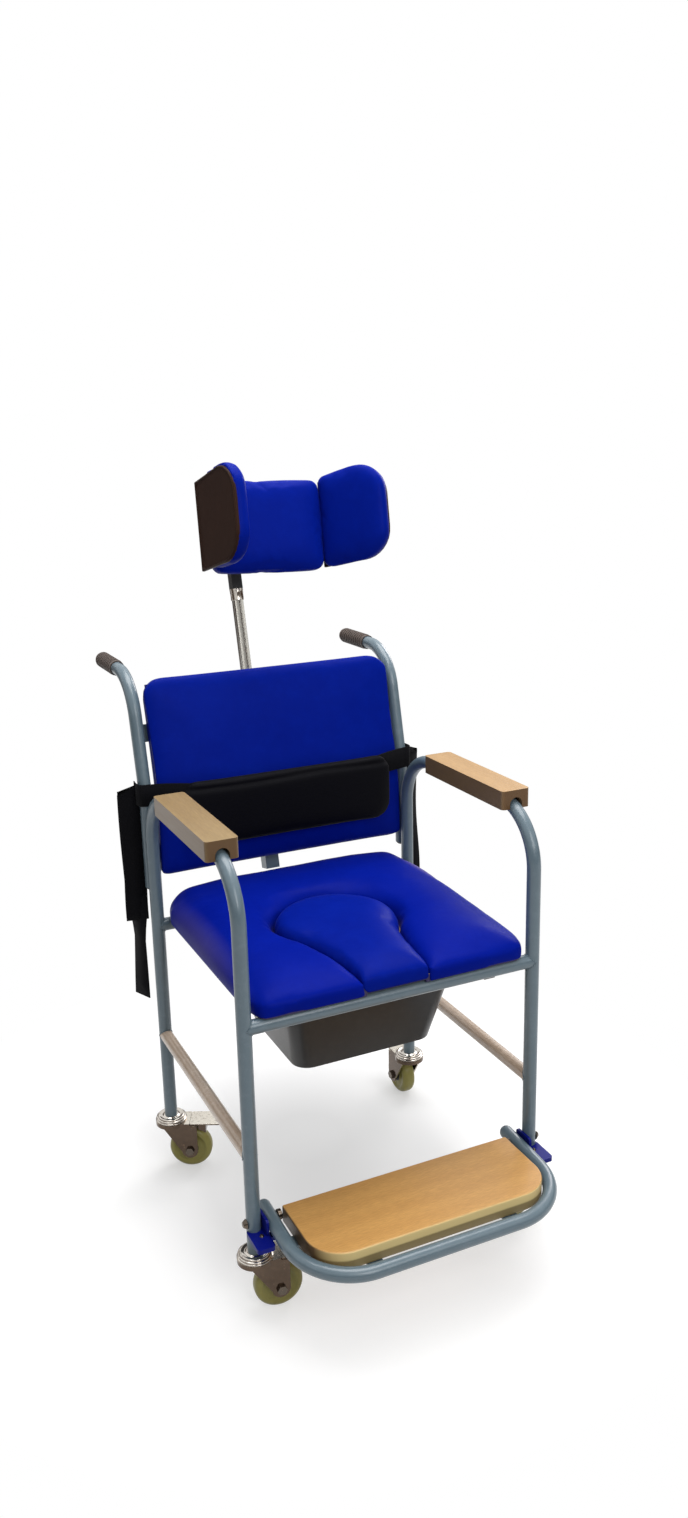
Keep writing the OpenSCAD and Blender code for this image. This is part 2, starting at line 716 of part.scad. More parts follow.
bracket_w = 40;
bar_y = upright_y + tube_r;
module back_straps() place() color(frame_color) {
    translate([-side_x, bar_y, low_bar_z - strap_bar_w / 2]) cube([frame_w, strap_bar_t, strap_bar_w]);
    difference() {
        translate([post_x - bracket_w / 2, bar_y + strap_bar_t, low_bar_z - strap_bar_w / 2])
            cube([bracket_w, post_y - bar_y, strap_bar_w]);
        at_post(post_low_s - post_w)
            translate([-bracket_w / 2 - over, -post_w / 2, 0])
                cube([bracket_w + 2 * over, 2 * post_y, post_top_s - post_low_s + 2 * post_w]);
    }
    translate(on_lean(high_bar_s)) rotate([-lean, 0, 0]) {
        translate([-side_x, tube_r, -strap_bar_w / 2]) cube([frame_w, strap_bar_t, strap_bar_w]);
        translate([post_x - bracket_w / 2, tube_r + strap_bar_t, -strap_bar_w / 2])
            cube([bracket_w, post_set * cos(lean) - post_w / 2 - tube_r - strap_bar_t, strap_bar_w]);
    }
}

// Seat
seat_half_w = side_x - tube_r - seat_gap;
seat_back = leg_span + seat_over;
seat_half_l = (seat_back + seat_front) / 2;
seat_mid = (seat_back - seat_front) / 2;
seat_radii = [seat_rear_r, seat_rear_r, seat_front_r, seat_front_r];
board_radius = seat_front_r - seat_skirt;

// The keyhole's outline, smaller all round by inset
module keyhole(inset) translate([key_x, 0]) {
    translate([0, key_y]) circle(r = key_r - inset);
    polygon([[-neck_wide + inset, neck_y], [-neck_narrow + inset, 0], [-neck_narrow + inset, -seat_front * 2],
        [neck_narrow - inset, -seat_front * 2], [neck_narrow - inset, 0], [neck_wide - inset, neck_y],
        [0, key_y]]);
}

module seat_blank(inset)
    translate([0, seat_mid]) round_rect(seat_half_w - inset, seat_half_l - inset, board_radius);

module seat_board() place() color(wood_color) translate([0, 0, seat_z]) difference() {
    linear_extrude(seat_board_t) seat_blank(seat_skirt);
    translate([0, 0, key_ledge_t]) linear_extrude(seat_board_t) keyhole(0);
    translate([0, 0, -over]) linear_extrude(seat_board_t) keyhole(key_ledge);
}

seat_lift = 1;
module seat_form() translate([0, seat_mid, seat_z + seat_lift])
    pad(seat_half_w, seat_half_l, seat_radii, seat_h - seat_lift);

module seat_cushion() place() color(vinyl_color) difference() {
    seat_form();
    translate([0, 0, seat_z - over]) linear_extrude(seat_board_t + over) seat_blank(seat_skirt);
    translate([0, 0, seat_z - over]) linear_extrude(seat_h + 2 * over) keyhole(0);
}

module infill_board() place() color(wood_color) translate([0, 0, seat_z + key_ledge_t])
    linear_extrude(seat_board_t - key_ledge_t) intersection() {
        seat_blank(seat_skirt);
        keyhole(face_gap);
    }

module infill_cushion() place() color(vinyl_color) intersection() {
    seat_form();
    translate([0, 0, seat_z + seat_board_t]) linear_extrude(seat_h) keyhole(infill_gap);
}

// Pan and its runners
runner_z = rail_z - tube_r - runner_h;
flange_z = runner_z + runner_t + face_gap;
pan_top_z = flange_z + pan_wall;
pan_y = leg_span / 2 - pan_shift;
module pan_blank(low_z, hx, hy, r)
    translate([0, pan_y, low_z]) linear_extrude(pan_wall) round_rect(hx, hy, r);
module pan() place() color(pan_color) difference() {
    union() {
        hull() {
            pan_blank(pan_low_z, pan_low_w, pan_low_l / 2, pan_r, $fn = 32);
            pan_blank(flange_z, pan_top_w, pan_top_l / 2, pan_r, $fn = 32);
        }
        translate([-pan_flange_w, pan_rim_front, flange_z])
            cube([2 * pan_flange_w, pan_y + pan_top_l / 2 - pan_rim_front, pan_wall]);
    }
    hull() {
        pan_blank(pan_low_z + pan_wall, pan_low_w - pan_wall, pan_low_l / 2 - pan_wall,
            pan_r - pan_wall, $fn = 32);
        pan_blank(pan_top_z + over, pan_top_w - pan_wall, pan_top_l / 2 - pan_wall,
            pan_r - pan_wall, $fn = 32);
    }
}

module pan_runners() place() color(frame_color) both() translate([runner_w, 0, runner_z]) {
    translate([-runner_t, runner_in, 0]) cube([runner_t, leg_span - 2 * runner_in, runner_h]);
    translate([-runner_flange, runner_in, 0]) cube([runner_flange, leg_span - 2 * runner_in, runner_t]);
    translate([-runner_flange, 0, runner_h - runner_t]) cube([runner_flange, leg_span, runner_t]);
}

// Footrest; its tube lies in a plane that slopes down from the pivots
foot_x = side_x - tube_d - foot_gap;
foot_w = 2 * foot_x;
foot_board_w = foot_x - tube_r - foot_board_gap;
module at_foot() place() translate([0, 0, pivot_z]) rotate([foot_slope, 0, 0]) children();
module foot_path(r, extra) {
    for (s = [-1, 1])
        translate([s * foot_x, foot_tail + extra, 0])
            rotate([quarter, 0, 0]) cylinder(h = foot_tail + foot_l - foot_r + extra, r = r);
    for (s = [-1, 1])
        translate([s * (foot_x - foot_r), -foot_l + foot_r, 0])
            rotate([0, 0, s > 0 ? -quarter : 2 * quarter])
                rotate_extrude(angle = quarter) translate([foot_r, 0]) circle(r = r);
    translate([-foot_x + foot_r, -foot_l, 0])
        rotate([0, quarter, 0]) cylinder(h = foot_w - 2 * foot_r, r = r);
}
pivot_r = pivot_d / 2;
tab_z = foot_board_z - foot_board_t - tab_t;
tab_reach = 42;
tab_rise = 13;
tab_end = foot_x - tube_r + tab_t / 2;
tab_front_y = -foot_l + tube_r / 2;
module footrest_frame() {
    color(frame_color) at_foot() difference() {
        union() {
            foot_path(tube_r, 0);
            for (s = [-1, 1]) translate([s * foot_x, foot_tail, 0]) sphere(r = tube_r);
        }
        foot_path(bore_r, 0);
        for (s = [-1, 1]) translate([s * foot_x - tube_r - over, 0, 0])
            rotate([0, quarter, 0]) cylinder(h = tube_d + 2 * over, r = pivot_r + run_gap);
    }
    place() color(frame_color) {
        both() {
            translate([tab_end - tab_reach, -tab_y - tab_w, tab_z]) cube([tab_reach, tab_w, tab_t]);
            translate([tab_end - tab_t, -tab_y - tab_w, tab_z]) cube([tab_t, tab_w, tab_rise]);
        }
        for (s = [-1, 1])
            translate([s * tab_x - tab_w / 2, tab_front_y, tab_z]) cube([tab_w, tab_reach, tab_t]);
    }
}

foot_board_l = foot_board_front - foot_board_back;
module footrest_board() place() color(wood_color)
    translate([0, -foot_board_front, foot_board_z - foot_board_t]) linear_extrude(foot_board_t) {
        translate([-foot_board_w, foot_board_r]) square([2 * foot_board_w, foot_board_l - foot_board_r]);
        translate([-foot_board_w + foot_board_r, 0])
            square([2 * (foot_board_w - foot_board_r), foot_board_l]);
        for (s = [-1, 1])
            translate([s * (foot_board_w - foot_board_r), foot_board_r]) circle(r = foot_board_r);
    }

foot_screw_r = 4;
foot_screw_x = tab_end - tab_reach + tab_w / 2;
foot_screw_y = -tab_y - tab_w / 2;
module footrest_screws() place() color(chrome_color) {
    for (s = [-1, 1]) {
        translate([s * foot_screw_x, foot_screw_y, tab_z]) foot_screw();
        translate([s * tab_x, tab_front_y + tab_reach - tab_w / 2, tab_z]) foot_screw();
    }
}
module foot_screw() {
    translate([0, 0, -foot_screw_r / 2])
        cylinder(h = foot_screw_r / 2, r1 = foot_screw_r / 2, r2 = foot_screw_r);
    cylinder(h = foot_board_t / 2, r = foot_screw_r / 2);
}

nut_r = 8;
nut_h = 6;
pivot_in = foot_x - tube_r - face_gap;
pivot_out = side_x + tube_r;
module pivot_bolts() place() color(chrome_color) both() translate([0, 0, pivot_z]) rotate([0, quarter, 0]) {
    translate([0, 0, pivot_in]) cylinder(h = pivot_out - pivot_in, r = pivot_r);
    translate([0, 0, pivot_in - nut_h]) cylinder(h = nut_h, r = nut_r);
    translate([0, 0, pivot_out]) cylinder(h = nut_h, r1 = nut_r, r2 = nut_r / 2);
}

// Moulded brackets: a plate between tube and leg, a tongue in front of the leg and a lug under the tube
spacer_z = 126;
spacer_back = 14;
spacer_x = side_x - tube_r;
spacer_r = 6;
lug_w = 16;
lug_front = 28;
lug_l = 13;
lug_top = 134.6;
tongue_z = 130;
lug_z = 128;
tongue_x = spacer_x - spacer_t;
module stop_brackets() place() color(blue_color) both() difference() {
    union() {
        translate([spacer_x - spacer_t - hairline, spacer_back - spacer_l / 2, spacer_z + spacer_h / 2])
            rotate([quarter, 0, quarter])
                linear_extrude(spacer_t) round_rect(spacer_l / 2, spacer_h / 2, spacer_r);
        translate([tongue_x + tongue_w / 2, -tongue_l / 2, tongue_z])
            linear_extrude(tongue_t) round_rect(tongue_w / 2, tongue_l / 2, tongue_r);
        translate([tongue_x - lug_w, -lug_front, lug_z])
            cube([lug_w + spacer_t, lug_l, lug_top - lug_z]);
    }
    translate([side_x, 0, tongue_z - over]) cylinder(h = spacer_h + 2 * over, r = tube_r);
    translate([0, 0, pivot_z]) rotate([0, quarter, 0]) cylinder(h = frame_w, r = pivot_r);
}

// Screws that hold the tongues
bracket_screw_r = 3.5;
bracket_screw_h = 3;
bracket_screw_x = 3;
bracket_screw_y = -22;
module bracket_screws() place() color(chrome_color) both()
    translate([tongue_x + tongue_w / 2 - bracket_screw_x, bracket_screw_y, tongue_z + tongue_t]) {
        cylinder(h = bracket_screw_h, r1 = bracket_screw_r, r2 = bracket_screw_r / 2);
        translate([0, 0, -tongue_t / 2]) cylinder(h = tongue_t / 2, r = bracket_screw_r / 2);
    }

// Headrest height: a square stem with grooves slides in the post
groove_w = 3;
groove_t = 1;
stem_top_s = (stem_top_z - lean_z) / cos(lean);
stem_low_s = stem_top_s - stem_l;
collar_s = (collar_z - lean_z) / cos(lean);
collar_band = 4;
ring_r = 12;
ring_step = 0.3;
module headrest_stem() place() color(chrome_color) at_post(stem_low_s) difference() {
    square_bar(stem_w, stem_l);
    for (k = [0:3]) rotate([0, 0, quarter * k])
        translate([-groove_w / 2, stem_w / 2 - groove_t, -over])
            cube([groove_w, over, collar_s - stem_low_s]);
}

module stem_collar() place() color(chrome_color) at_post(collar_s) difference() {
    union() {
        cylinder(h = collar_h - 2 * collar_band, r = ring_r - 2 * ring_step);
        translate([0, 0, collar_h - 2 * collar_band]) cylinder(h = collar_band, r = ring_r - ring_step);
        translate([0, 0, collar_h - collar_band]) cylinder(h = collar_band, r = ring_r);
    }
    translate([0, 0, -over]) square_bar(stem_w, collar_h + 2 * over);
}

knob_drop = 24;
knob_r = 16;
knob_h = 14;
knob_screw_r = 3;
knob_lobe_r = 5;
knob_lobes = 5;
module clamp_knob() place() color(black_color) at_post(post_top_s - knob_drop)
    translate([0, stem_w / 2 + face_gap / 2, 0]) rotate([-quarter, 0, 0]) {
        cylinder(h = post_w, r = knob_screw_r);
        translate([0, 0, post_w / 2 - stem_w / 2 + face_gap]) {
            cylinder(h = knob_h, r = knob_r - knob_lobe_r / 2);
            for (a = [0:knob_lobes - 1]) rotate([0, 0, 4 * quarter * a / knob_lobes])
                translate([knob_r - knob_lobe_r / 2, 0, 0]) cylinder(h = knob_h, r = knob_lobe_r);
        }
    }

// The headrest's own frame: origin in the middle of the pad's front face, +Y to the rear, +Z up the pad
head_y = post_y - head_set;
module at_head() place() translate([0, head_y, head_z])
    rotate([-head_tilt, 0, 0]) rotate([0, head_roll, 0]) children();
plate_t = 3;
head_face_y = 5;
plate_y = head_cushion_t + head_board_t - head_face_y;
plate_half_h = 20;
lug_reach = 14;
tilt_y = plate_y + plate_t + lug_reach;
lug_r = 11;
lug_t = 4;
tongue_half = 12;
tilt_r = 4;
bracket_side = 19;
bracket_low_s = collar_s + collar_h;
tilt_drop = -post_x * sin(head_roll);
tilt_point = [post_x * cos(head_roll), head_y + tilt_y * cos(head_tilt) + tilt_drop * sin(head_tilt),
    head_z - tilt_y * sin(head_tilt) + tilt_drop * cos(head_tilt)];
arm_low = 28;
arm_s = stem_top_s - arm_low;
arm_point = [post_x, post_y + arm_s * sin(lean), lean_z + arm_s * cos(lean)];
arm_half = 8;
module headrest_bracket() place() color(black_color) {
    difference() {
        at_post(bracket_low_s) square_bar(bracket_side, stem_top_s - bracket_low_s + cap_t);
        at_post(bracket_low_s - over) square_bar(stem_w, stem_top_s - bracket_low_s + over);
    }
    difference() {
        union() {
            rod(tilt_point, arm_point + [0, -stem_w / 2 - cap_t / 2, 0], arm_half);
            at_tilt(-tongue_half) cylinder(h = 2 * tongue_half, r = lug_r);
        }
        at_tilt(-frame_w / 2) cylinder(h = frame_w, r = tilt_r + run_gap);
    }
}

// The axis of the tilt joint, from a distance beside the post
module at_tilt(x) translate(tilt_point) rotate([-head_tilt, 0, 0]) rotate([0, quarter + head_roll, 0])
    translate([0, 0, x]) children();

// Plate behind the head board: lugs and bolt of the tilt joint, ears and pins of the wing hinges
pin_r = 3;
eye_r = 5;
ear_end_r = 4.5;
ear_set = 10;
ear_w = 10;
plate_end = hinge_x - ear_set;
ear_y = plate_y - hinge_y;
hinge_half = plate_half_h - plate_t - face_gap;
module wing_ear() {
    circle(r = ear_end_r);
    polygon([[-ear_end_r, 0], [-ear_set, ear_y], [-ear_set - ear_w, ear_y],
        [-ear_set - ear_w, ear_y + plate_t], [-ear_set, ear_y + plate_t], [pin_r, pin_r]]);
}
module head_plate() color(black_color) at_head() {
    translate([-plate_end, plate_y, -plate_half_h]) cube([2 * plate_end, plate_t, 2 * plate_half_h]);
    both() translate([hinge_x, hinge_y, 0]) {
        for (low = [-plate_half_h, plate_half_h - plate_t])
            translate([0, 0, low]) linear_extrude(plate_t) wing_ear();
        translate([0, 0, -plate_half_h]) cylinder(h = 2 * plate_half_h, r = pin_r);
    }
    for (s = [-1, 1]) translate([post_x + s * (tongue_half + face_gap + lug_t / 2) - lug_t / 2, 0, 0]) {
        translate([0, plate_y, -lug_r]) cube([lug_t, tilt_y - plate_y, 2 * lug_r]);
        translate([0, tilt_y, 0]) rotate([0, quarter, 0]) cylinder(h = lug_t, r = lug_r);
    }
    translate([post_x - tongue_half - 2 * lug_t, tilt_y, 0])
        rotate([0, quarter, 0]) cylinder(h = 2 * (tongue_half + 2 * lug_t), r = tilt_r);
}

board_y = plate_y - head_board_t;
board_inset = 6;
module head_board() color(brown_color) at_head() translate([0, plate_y, 0]) rotate([quarter, 0, 0])
    linear_extrude(head_board_t)
        round_rect(head_half_w - board_inset, head_half_h - board_inset, board_inset);

head_r = 14;
module head_pad() color(vinyl_color) at_head() translate([0, board_y, 0]) rotate([quarter, 0, 0])
    pad(head_half_w, head_half_h, [head_r, head_r, head_r, head_r], head_cushion_t);

// A wing's own frame: origin on its hinge, -Y along the wing, +X outwards
module at_wing(side, turn)
    at_head() scale([side, 1, 1]) translate([hinge_x, hinge_y, 0]) rotate([0, 0, turn]) children();

// Points of a rounded front corner of a wing, forward and up, from one angle on
wing_steps = 8;
function wing_corner(u, v, r, start) =
    [for (k = [0:wing_steps]) let (a = start + quarter * k / wing_steps) [u + r * cos(a), v + r * sin(a)]];
wing_outline = concat([[-wing_tail, wing_up], [-wing_tail, -wing_down]],
    wing_corner(wing_l - wing_low_r, wing_low_r - wing_front_down, wing_low_r, -quarter),
    wing_corner(wing_l - wing_r, wing_front_up - wing_r, wing_r, 0));
module wing_board(side, turn) color(brown_color) at_wing(side, turn)
    translate([eye_r + wing_board_t, 0, 0]) rotate([quarter, 0, -quarter]) linear_extrude(wing_board_t)
        polygon(wing_outline);
module left_wing_board() wing_board(-1, left_wing_angle);
module right_wing_board() wing_board(1, right_wing_angle);

// A leaf on the inner face of the wing board with an eye round the pin
leaf_t = 2.5;
leaf_l = 7;
module wing_hinge(side, turn) color(black_color) at_wing(side, turn)
    translate([0, 0, -hinge_half]) linear_extrude(2 * hinge_half) difference() {
        union() {
            circle(r = eye_r);
            translate([eye_r - leaf_t, -leaf_l]) square([leaf_t, leaf_l + wing_tail]);
            translate([0, -eye_r]) square([eye_r - leaf_t / 2, eye_r]);
        }
        circle(r = pin_r + run_gap);
    }
module left_wing_hinge() wing_hinge(-1, left_wing_angle);
module right_wing_hinge() wing_hinge(1, right_wing_angle);

// A wing cushion: a crowned pad whose upper and lower edges follow the board
wing_pad_r = 10;
wing_half_h = (wing_up + wing_down) / 2;
wing_mid = (wing_up - wing_down) / 2;
function wing_grow(u, v) = let (k = u / wing_l)
    v > 0 ? v * (1 + k * (wing_front_up - wing_up) / wing_half_h)
        : v * (1 - k * (wing_down - wing_front_down) / wing_half_h);
module wing_pad(side, turn, start) color(vinyl_color) at_wing(side, turn) {
    half_l = (wing_l - start) / 2;
    mid = (wing_l + start) / 2;
    radii = [wing_r, wing_pad_r, wing_pad_r, wing_low_r];
    polyhedron(points = concat([for (p = pad_points(half_l, wing_half_h, radii, wing_cushion_t))
        [eye_r - p[2], -p[0] - mid, wing_grow(p[0] + mid, p[1]) + wing_mid]],
        [[eye_r, -mid, wing_mid], [eye_r - wing_cushion_t, -mid, wing_mid]]), faces = pad_sides);
}
module left_wing_pad() wing_pad(-1, left_wing_angle, left_pad_start);
module right_wing_pad() wing_pad(1, right_wing_angle, right_pad_start);

// Belt
belt_r = 34;
belt_back = upright_y - belt_set;
module belt_pad() place() color(black_color) translate([0, belt_back, belt_z]) rotate([quarter, 0, 0])
    pad(belt_half_w, belt_half_h, [belt_r, belt_r, belt_r, belt_r], belt_t);

web_step = 3;
web_tuck = 7;
web_lap = 3;
web_ease = 4;
web_reach = side_x + web_out;
web_side = side_x + tube_r + face_gap;
web_front = upright_y - tube_r - face_gap;
web_wrap_l = tube_d + 2 * web_step;
web_start = [belt_half_w - web_tuck, belt_back - web_lap];
web_turn_in = [side_x + web_ease, web_front - web_t];
web_corner = [web_side + web_t, web_front + web_step];
// The webbing from the pad's end to the upright and round its outer side
module web_wrap() translate([0, 0, web_top_z - web_w / 2]) linear_extrude(web_w)
    polygon([web_start, web_turn_in, web_corner, web_corner + [0, web_wrap_l],
        web_corner + [-web_t, web_wrap_l], web_corner + [-web_t, 0],
        web_turn_in + [-web_step, web_t], web_start + [0, web_t]]);
// One hanging layer, its inner edge behind the upright
module web_hang(low_z, shift)
    translate([web_reach - web_t, upright_y + shift, low_z])
        rotate([0, 0, -web_turn]) translate([-web_w + web_t / 2, 0, 0])
            cube([web_w, web_t, web_top_z + web_w / 2 - low_z]);
module left_strap() place() color(black_color) scale([-1, 1, 1]) {
    web_wrap();
    web_hang(web_long_z, 3 * web_step);
    web_hang(web_short_z, 2 * web_step);
}
module right_strap() place() color(black_color) {
    web_wrap();
    web_hang(web_right_z, 2 * web_step);
}

caster_mounts();
fork(0);  // fork_fl
fork(1);  // fork_fr
fork(2);  // fork_rl
fork(3);  // fork_rr
wheel(0);  // wheel_fl
wheel(1);  // wheel_fr
wheel(2);  // wheel_rl
wheel(3);  // wheel_rr
axle(0);  // axle_fl
axle(1);  // axle_fr
axle(2);  // axle_rl
axle(3);  // axle_rr
pedal(0);  // pedal_fl
pedal(1);  // pedal_fr
pedal(2);  // pedal_rl
pedal(3);  // pedal_rr
left_side_frame();
right_side_frame();
left_upright();
right_upright();
cross_rails();
side_stretchers();
back_straps();
headrest_post();
pan_runners();
tube_plugs();
grips();
left_arm_pad();
right_arm_pad();
arm_screws();
back_board();
back_cushion();
seat_board();
seat_cushion();
infill_board();
infill_cushion();
pan();
footrest_frame();
footrest_board();
footrest_screws();
pivot_bolts();
stop_brackets();
bracket_screws();
headrest_stem();
stem_collar();
clamp_knob();
headrest_bracket();
head_plate();
head_board();
head_pad();
left_wing_board();
right_wing_board();
left_wing_hinge();
right_wing_hinge();
left_wing_pad();
right_wing_pad();
belt_pad();
left_strap();
right_strap();
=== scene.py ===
import bpy
import bmesh
import json
import math
from mathutils import Matrix, Vector, kdtree, noise


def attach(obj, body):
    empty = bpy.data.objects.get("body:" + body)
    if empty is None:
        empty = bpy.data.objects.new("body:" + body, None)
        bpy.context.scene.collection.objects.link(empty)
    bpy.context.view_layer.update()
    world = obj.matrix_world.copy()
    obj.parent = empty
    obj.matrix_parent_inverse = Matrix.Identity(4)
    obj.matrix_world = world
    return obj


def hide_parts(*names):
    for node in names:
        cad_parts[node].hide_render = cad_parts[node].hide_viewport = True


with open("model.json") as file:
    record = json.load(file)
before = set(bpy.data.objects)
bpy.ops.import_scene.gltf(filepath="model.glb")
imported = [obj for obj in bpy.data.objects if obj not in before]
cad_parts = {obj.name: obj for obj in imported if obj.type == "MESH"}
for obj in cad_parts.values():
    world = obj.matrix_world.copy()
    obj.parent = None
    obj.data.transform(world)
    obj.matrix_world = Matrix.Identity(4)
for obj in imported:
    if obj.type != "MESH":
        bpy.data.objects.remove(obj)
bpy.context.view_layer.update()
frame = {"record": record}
scene = bpy.context.scene
print("frame loaded")

midY = 244.7237  # millimetres from the front legs to the middle of the chair
slotOf = {entry["node"]: entry["material_slot"] for entry in frame["record"]["subparts"]}
bodyOf = {node: body for body, nodes in frame["record"]["behaviour"]["bodies"].items() for node in nodes}


def at(x, y, z):
    # millimetres measured from the front legs on the floor, as on the drawing
    return Vector((x, y - midY, z)) * 0.001


def turned(angle):
    return Vector((math.cos(math.radians(angle)), math.sin(math.radians(angle)), 0))


def unit(value):
    return min(max(value, 0.0), 1.0)


def added(name, data):
    thing = bpy.data.objects.new(name, data)
    scene.collection.objects.link(thing)
    return thing


# sockets and nodes

class Flow:
    # one socket of a node tree; sums on it become Math nodes
    def __init__(self, tree, socket=None):
        self.tree = tree
        self.socket = socket

    def make(self, kind, settings=None, inputs=None, out=0):
        node = self.tree.nodes.new(kind)
        for key, value in (settings or {}).items():
            setattr(node, key, value)
        for key, value in (inputs or {}).items():
            if isinstance(value, Flow):
                self.tree.links.new(value.socket, node.inputs[key])
            else:
                node.inputs[key].default_value = value
        return Flow(self.tree, node.outputs[out] if node.outputs else None)

    def calc(self, how, a, b=0.0):
        return self.make("ShaderNodeMath", {"operation": how}, {0: a, 1: b})

    def __add__(self, other):
        return self.calc("ADD", self, other)

    def __radd__(self, other):
        return self.calc("ADD", other, self)

    def __sub__(self, other):
        return self.calc("SUBTRACT", self, other)

    def __rsub__(self, other):
        return self.calc("SUBTRACT", other, self)

    def __mul__(self, other):
        return self.calc("MULTIPLY", self, other)

    def __rmul__(self, other):
        return self.calc("MULTIPLY", other, self)

    def power(self, other):
        return self.calc("POWER", self, other)

    def limit(self, low, high):
        return self.calc("MINIMUM", self.calc("MAXIMUM", self, low), high)

    def unit(self):
        return self.limit(0.0, 1.0)

    def blend(self, first, second):
        # two colours mixed by this value
        return self.make("ShaderNodeMix", {"data_type": "RGBA"}, {0: self, 6: first, 7: second}, 2)


def color(r, g, b):
    return (r, g, b, 1)


def dim(tone, much):
    return color(*[c * much for c in tone[:3]])


def grey(tone):
    return color(tone, tone, tone)


def newFinish(name):
    material = bpy.data.materials.new(name)
    material.use_nodes = True
    material.node_tree.nodes.clear()
    return material, Flow(material.node_tree)


def placed(f, scale=(1, 1, 1), shift=(0, 0, 0)):
    raw = f.make("ShaderNodeTexCoord", out="Object")
    return f.make("ShaderNodeMapping", {}, {"Vector": raw, "Scale": scale, "Location": shift})


def mapped(f):
    return f.make("ShaderNodeTexCoord", out="UV")


def cloud(f, where, scale, detail=3.0, rough=0.55, warp=0.0):
    return f.make("ShaderNodeTexNoise", {}, {"Vector": where, "Scale": scale, "Detail": detail,
                                             "Roughness": rough, "Distortion": warp})


def cells(f, where, scale):
    return f.make("ShaderNodeTexVoronoi", {}, {"Vector": where, "Scale": scale})


def span(f, where):
    return f.make("ShaderNodeVectorMath", {"operation": "LENGTH"}, {0: where}, "Value")


def waves(f, where, scale, way, warp=0.0, detail=1.0):
    return f.make("ShaderNodeTexWave", {"wave_type": "BANDS", "bands_direction": way},
                  {"Vector": where, "Scale": scale, "Distortion": warp, "Detail": detail}, "Fac")


def bump(f, height, deep, strength=1.0, under=None):
    inputs = {"Height": height, "Distance": deep, "Strength": strength}
    if under:
        inputs["Normal"] = under
    return f.make("ShaderNodeBump", {}, inputs)


def facing(f, way):
    # how far a face looks along one of the piece's own axes, from 0 to 1
    normal = f.make("ShaderNodeTexCoord", out="Normal")
    along = f.make("ShaderNodeVectorMath", {"operation": "DOT_PRODUCT"}, {0: normal, 1: way}, "Value")
    return f.calc("ABSOLUTE", along)


def show(f, shader):
    f.make("ShaderNodeOutputMaterial", {}, {"Surface": shader})


def close(material, f, **inputs):
    settings = {key.replace("_", " "): value for key, value in inputs.items()}
    shader = f.make("ShaderNodeBsdfPrincipled", {}, settings)
    show(f, shader)
    return material


# finishes

def makeVinyl(name, base, deep, sheen, glow=0.02, grain=820.0, rough=0.36, shine=0.018, sheenPatches=()):
    # coated cloth: pores, faint folds and slow waves of tone; the patches are painted sheen and show paler
    material, f = newFinish(name)
    here = placed(f)
    tone, fine = cloud(f, here, 5.0, 4.0), cloud(f, here, 22.0)
    pores, folds = cells(f, here, grain), cloud(f, here, 240.0, 3.0, 0.6)
    worn = cloud(f, here, 34.0, 5.0, 0.7).power(6.0) * 5.0
    skin = bump(f, pores * 0.6 + folds * 0.7, 0.0002, 0.4)
    mask = (tone.limit(0.3, 0.7) * 1.4 - 0.2 + worn.limit(0.0, 0.25)).unit()
    dye = mask.blend(deep, base)
    # painted sheen: each patch pulls the colour towards its own tone, most at its middle
    for spot, size, pale, much in sheenPatches:
        shift = tuple(-c / k for c, k in zip(spot, size))
        far = span(f, placed(f, tuple(1 / k for k in size), shift))
        dye = ((1.0 - far).unit().power(1.4) * (tone * 0.8 + 0.6) * much).unit().blend(dye, pale)
    return close(material, f, Base_Color=dye, Roughness=tone * 0.1 + pores * 0.08 + (rough - 0.08),
                 Normal=bump(f, fine, 0.004, 0.2, skin), Sheen_Weight=glow, Sheen_Tint=sheen,
                 Sheen_Roughness=0.3, Specular_IOR_Level=shine)


def makePaint(name, base, worn, rough=0.34, shine=0.35, coat=0.15):
    # powder coat: orange peel, slow tone, small pale scuffs
    material, f = newFinish(name)
    here = placed(f)
    peel, tone = cloud(f, here, 420.0, 2.0), cloud(f, here, 9.0)
    scuff = cloud(f, here, 60.0, 5.0, 0.7).power(7.0) * 10.0
    mask = (tone * 0.55 + scuff.limit(0.0, 0.4)).unit()
    return close(material, f, Base_Color=mask.blend(base, worn),
                 Roughness=peel * 0.12 + tone * 0.1 + (rough - 0.1), Normal=bump(f, peel, 0.00012, 0.5),
                 Specular_IOR_Level=shine, Coat_Weight=coat, Coat_Roughness=0.2)


rust = color(0.2, 0.13, 0.08)


def makeChrome(name, tint, rough=0.1, sides=None):
    # plating with wiped smudges and a few rust freckles; upright faces may get a painted reflection in a tone
    # of their own
    material, f = newFinish(name)
    here = placed(f)
    smudge = cloud(f, here, 30.0, 4.0, 0.6)
    freckle = (cloud(f, here, 190.0, 4.0, 0.7).power(8.0) * 9.0).unit()
    tarnish = (smudge * 1.6 - 0.45).unit()
    clean = tarnish.blend(tint, dim(tint, 0.8))
    if sides:
        # painted reflection: faces that don't look up take the sides tone
        up = (facing(f, (0, 0, 1)) * 2.2 - 0.5).unit()
        clean = up.blend(tarnish.blend(sides, dim(sides, 0.6)), clean)
    return close(material, f, Base_Color=freckle.blend(clean, rust),
                 Metallic=1.0 - freckle * 0.6, Roughness=smudge * 0.1 + freckle * 0.3 + (rough - 0.04),
                 Normal=bump(f, smudge, 0.0001, 0.12))


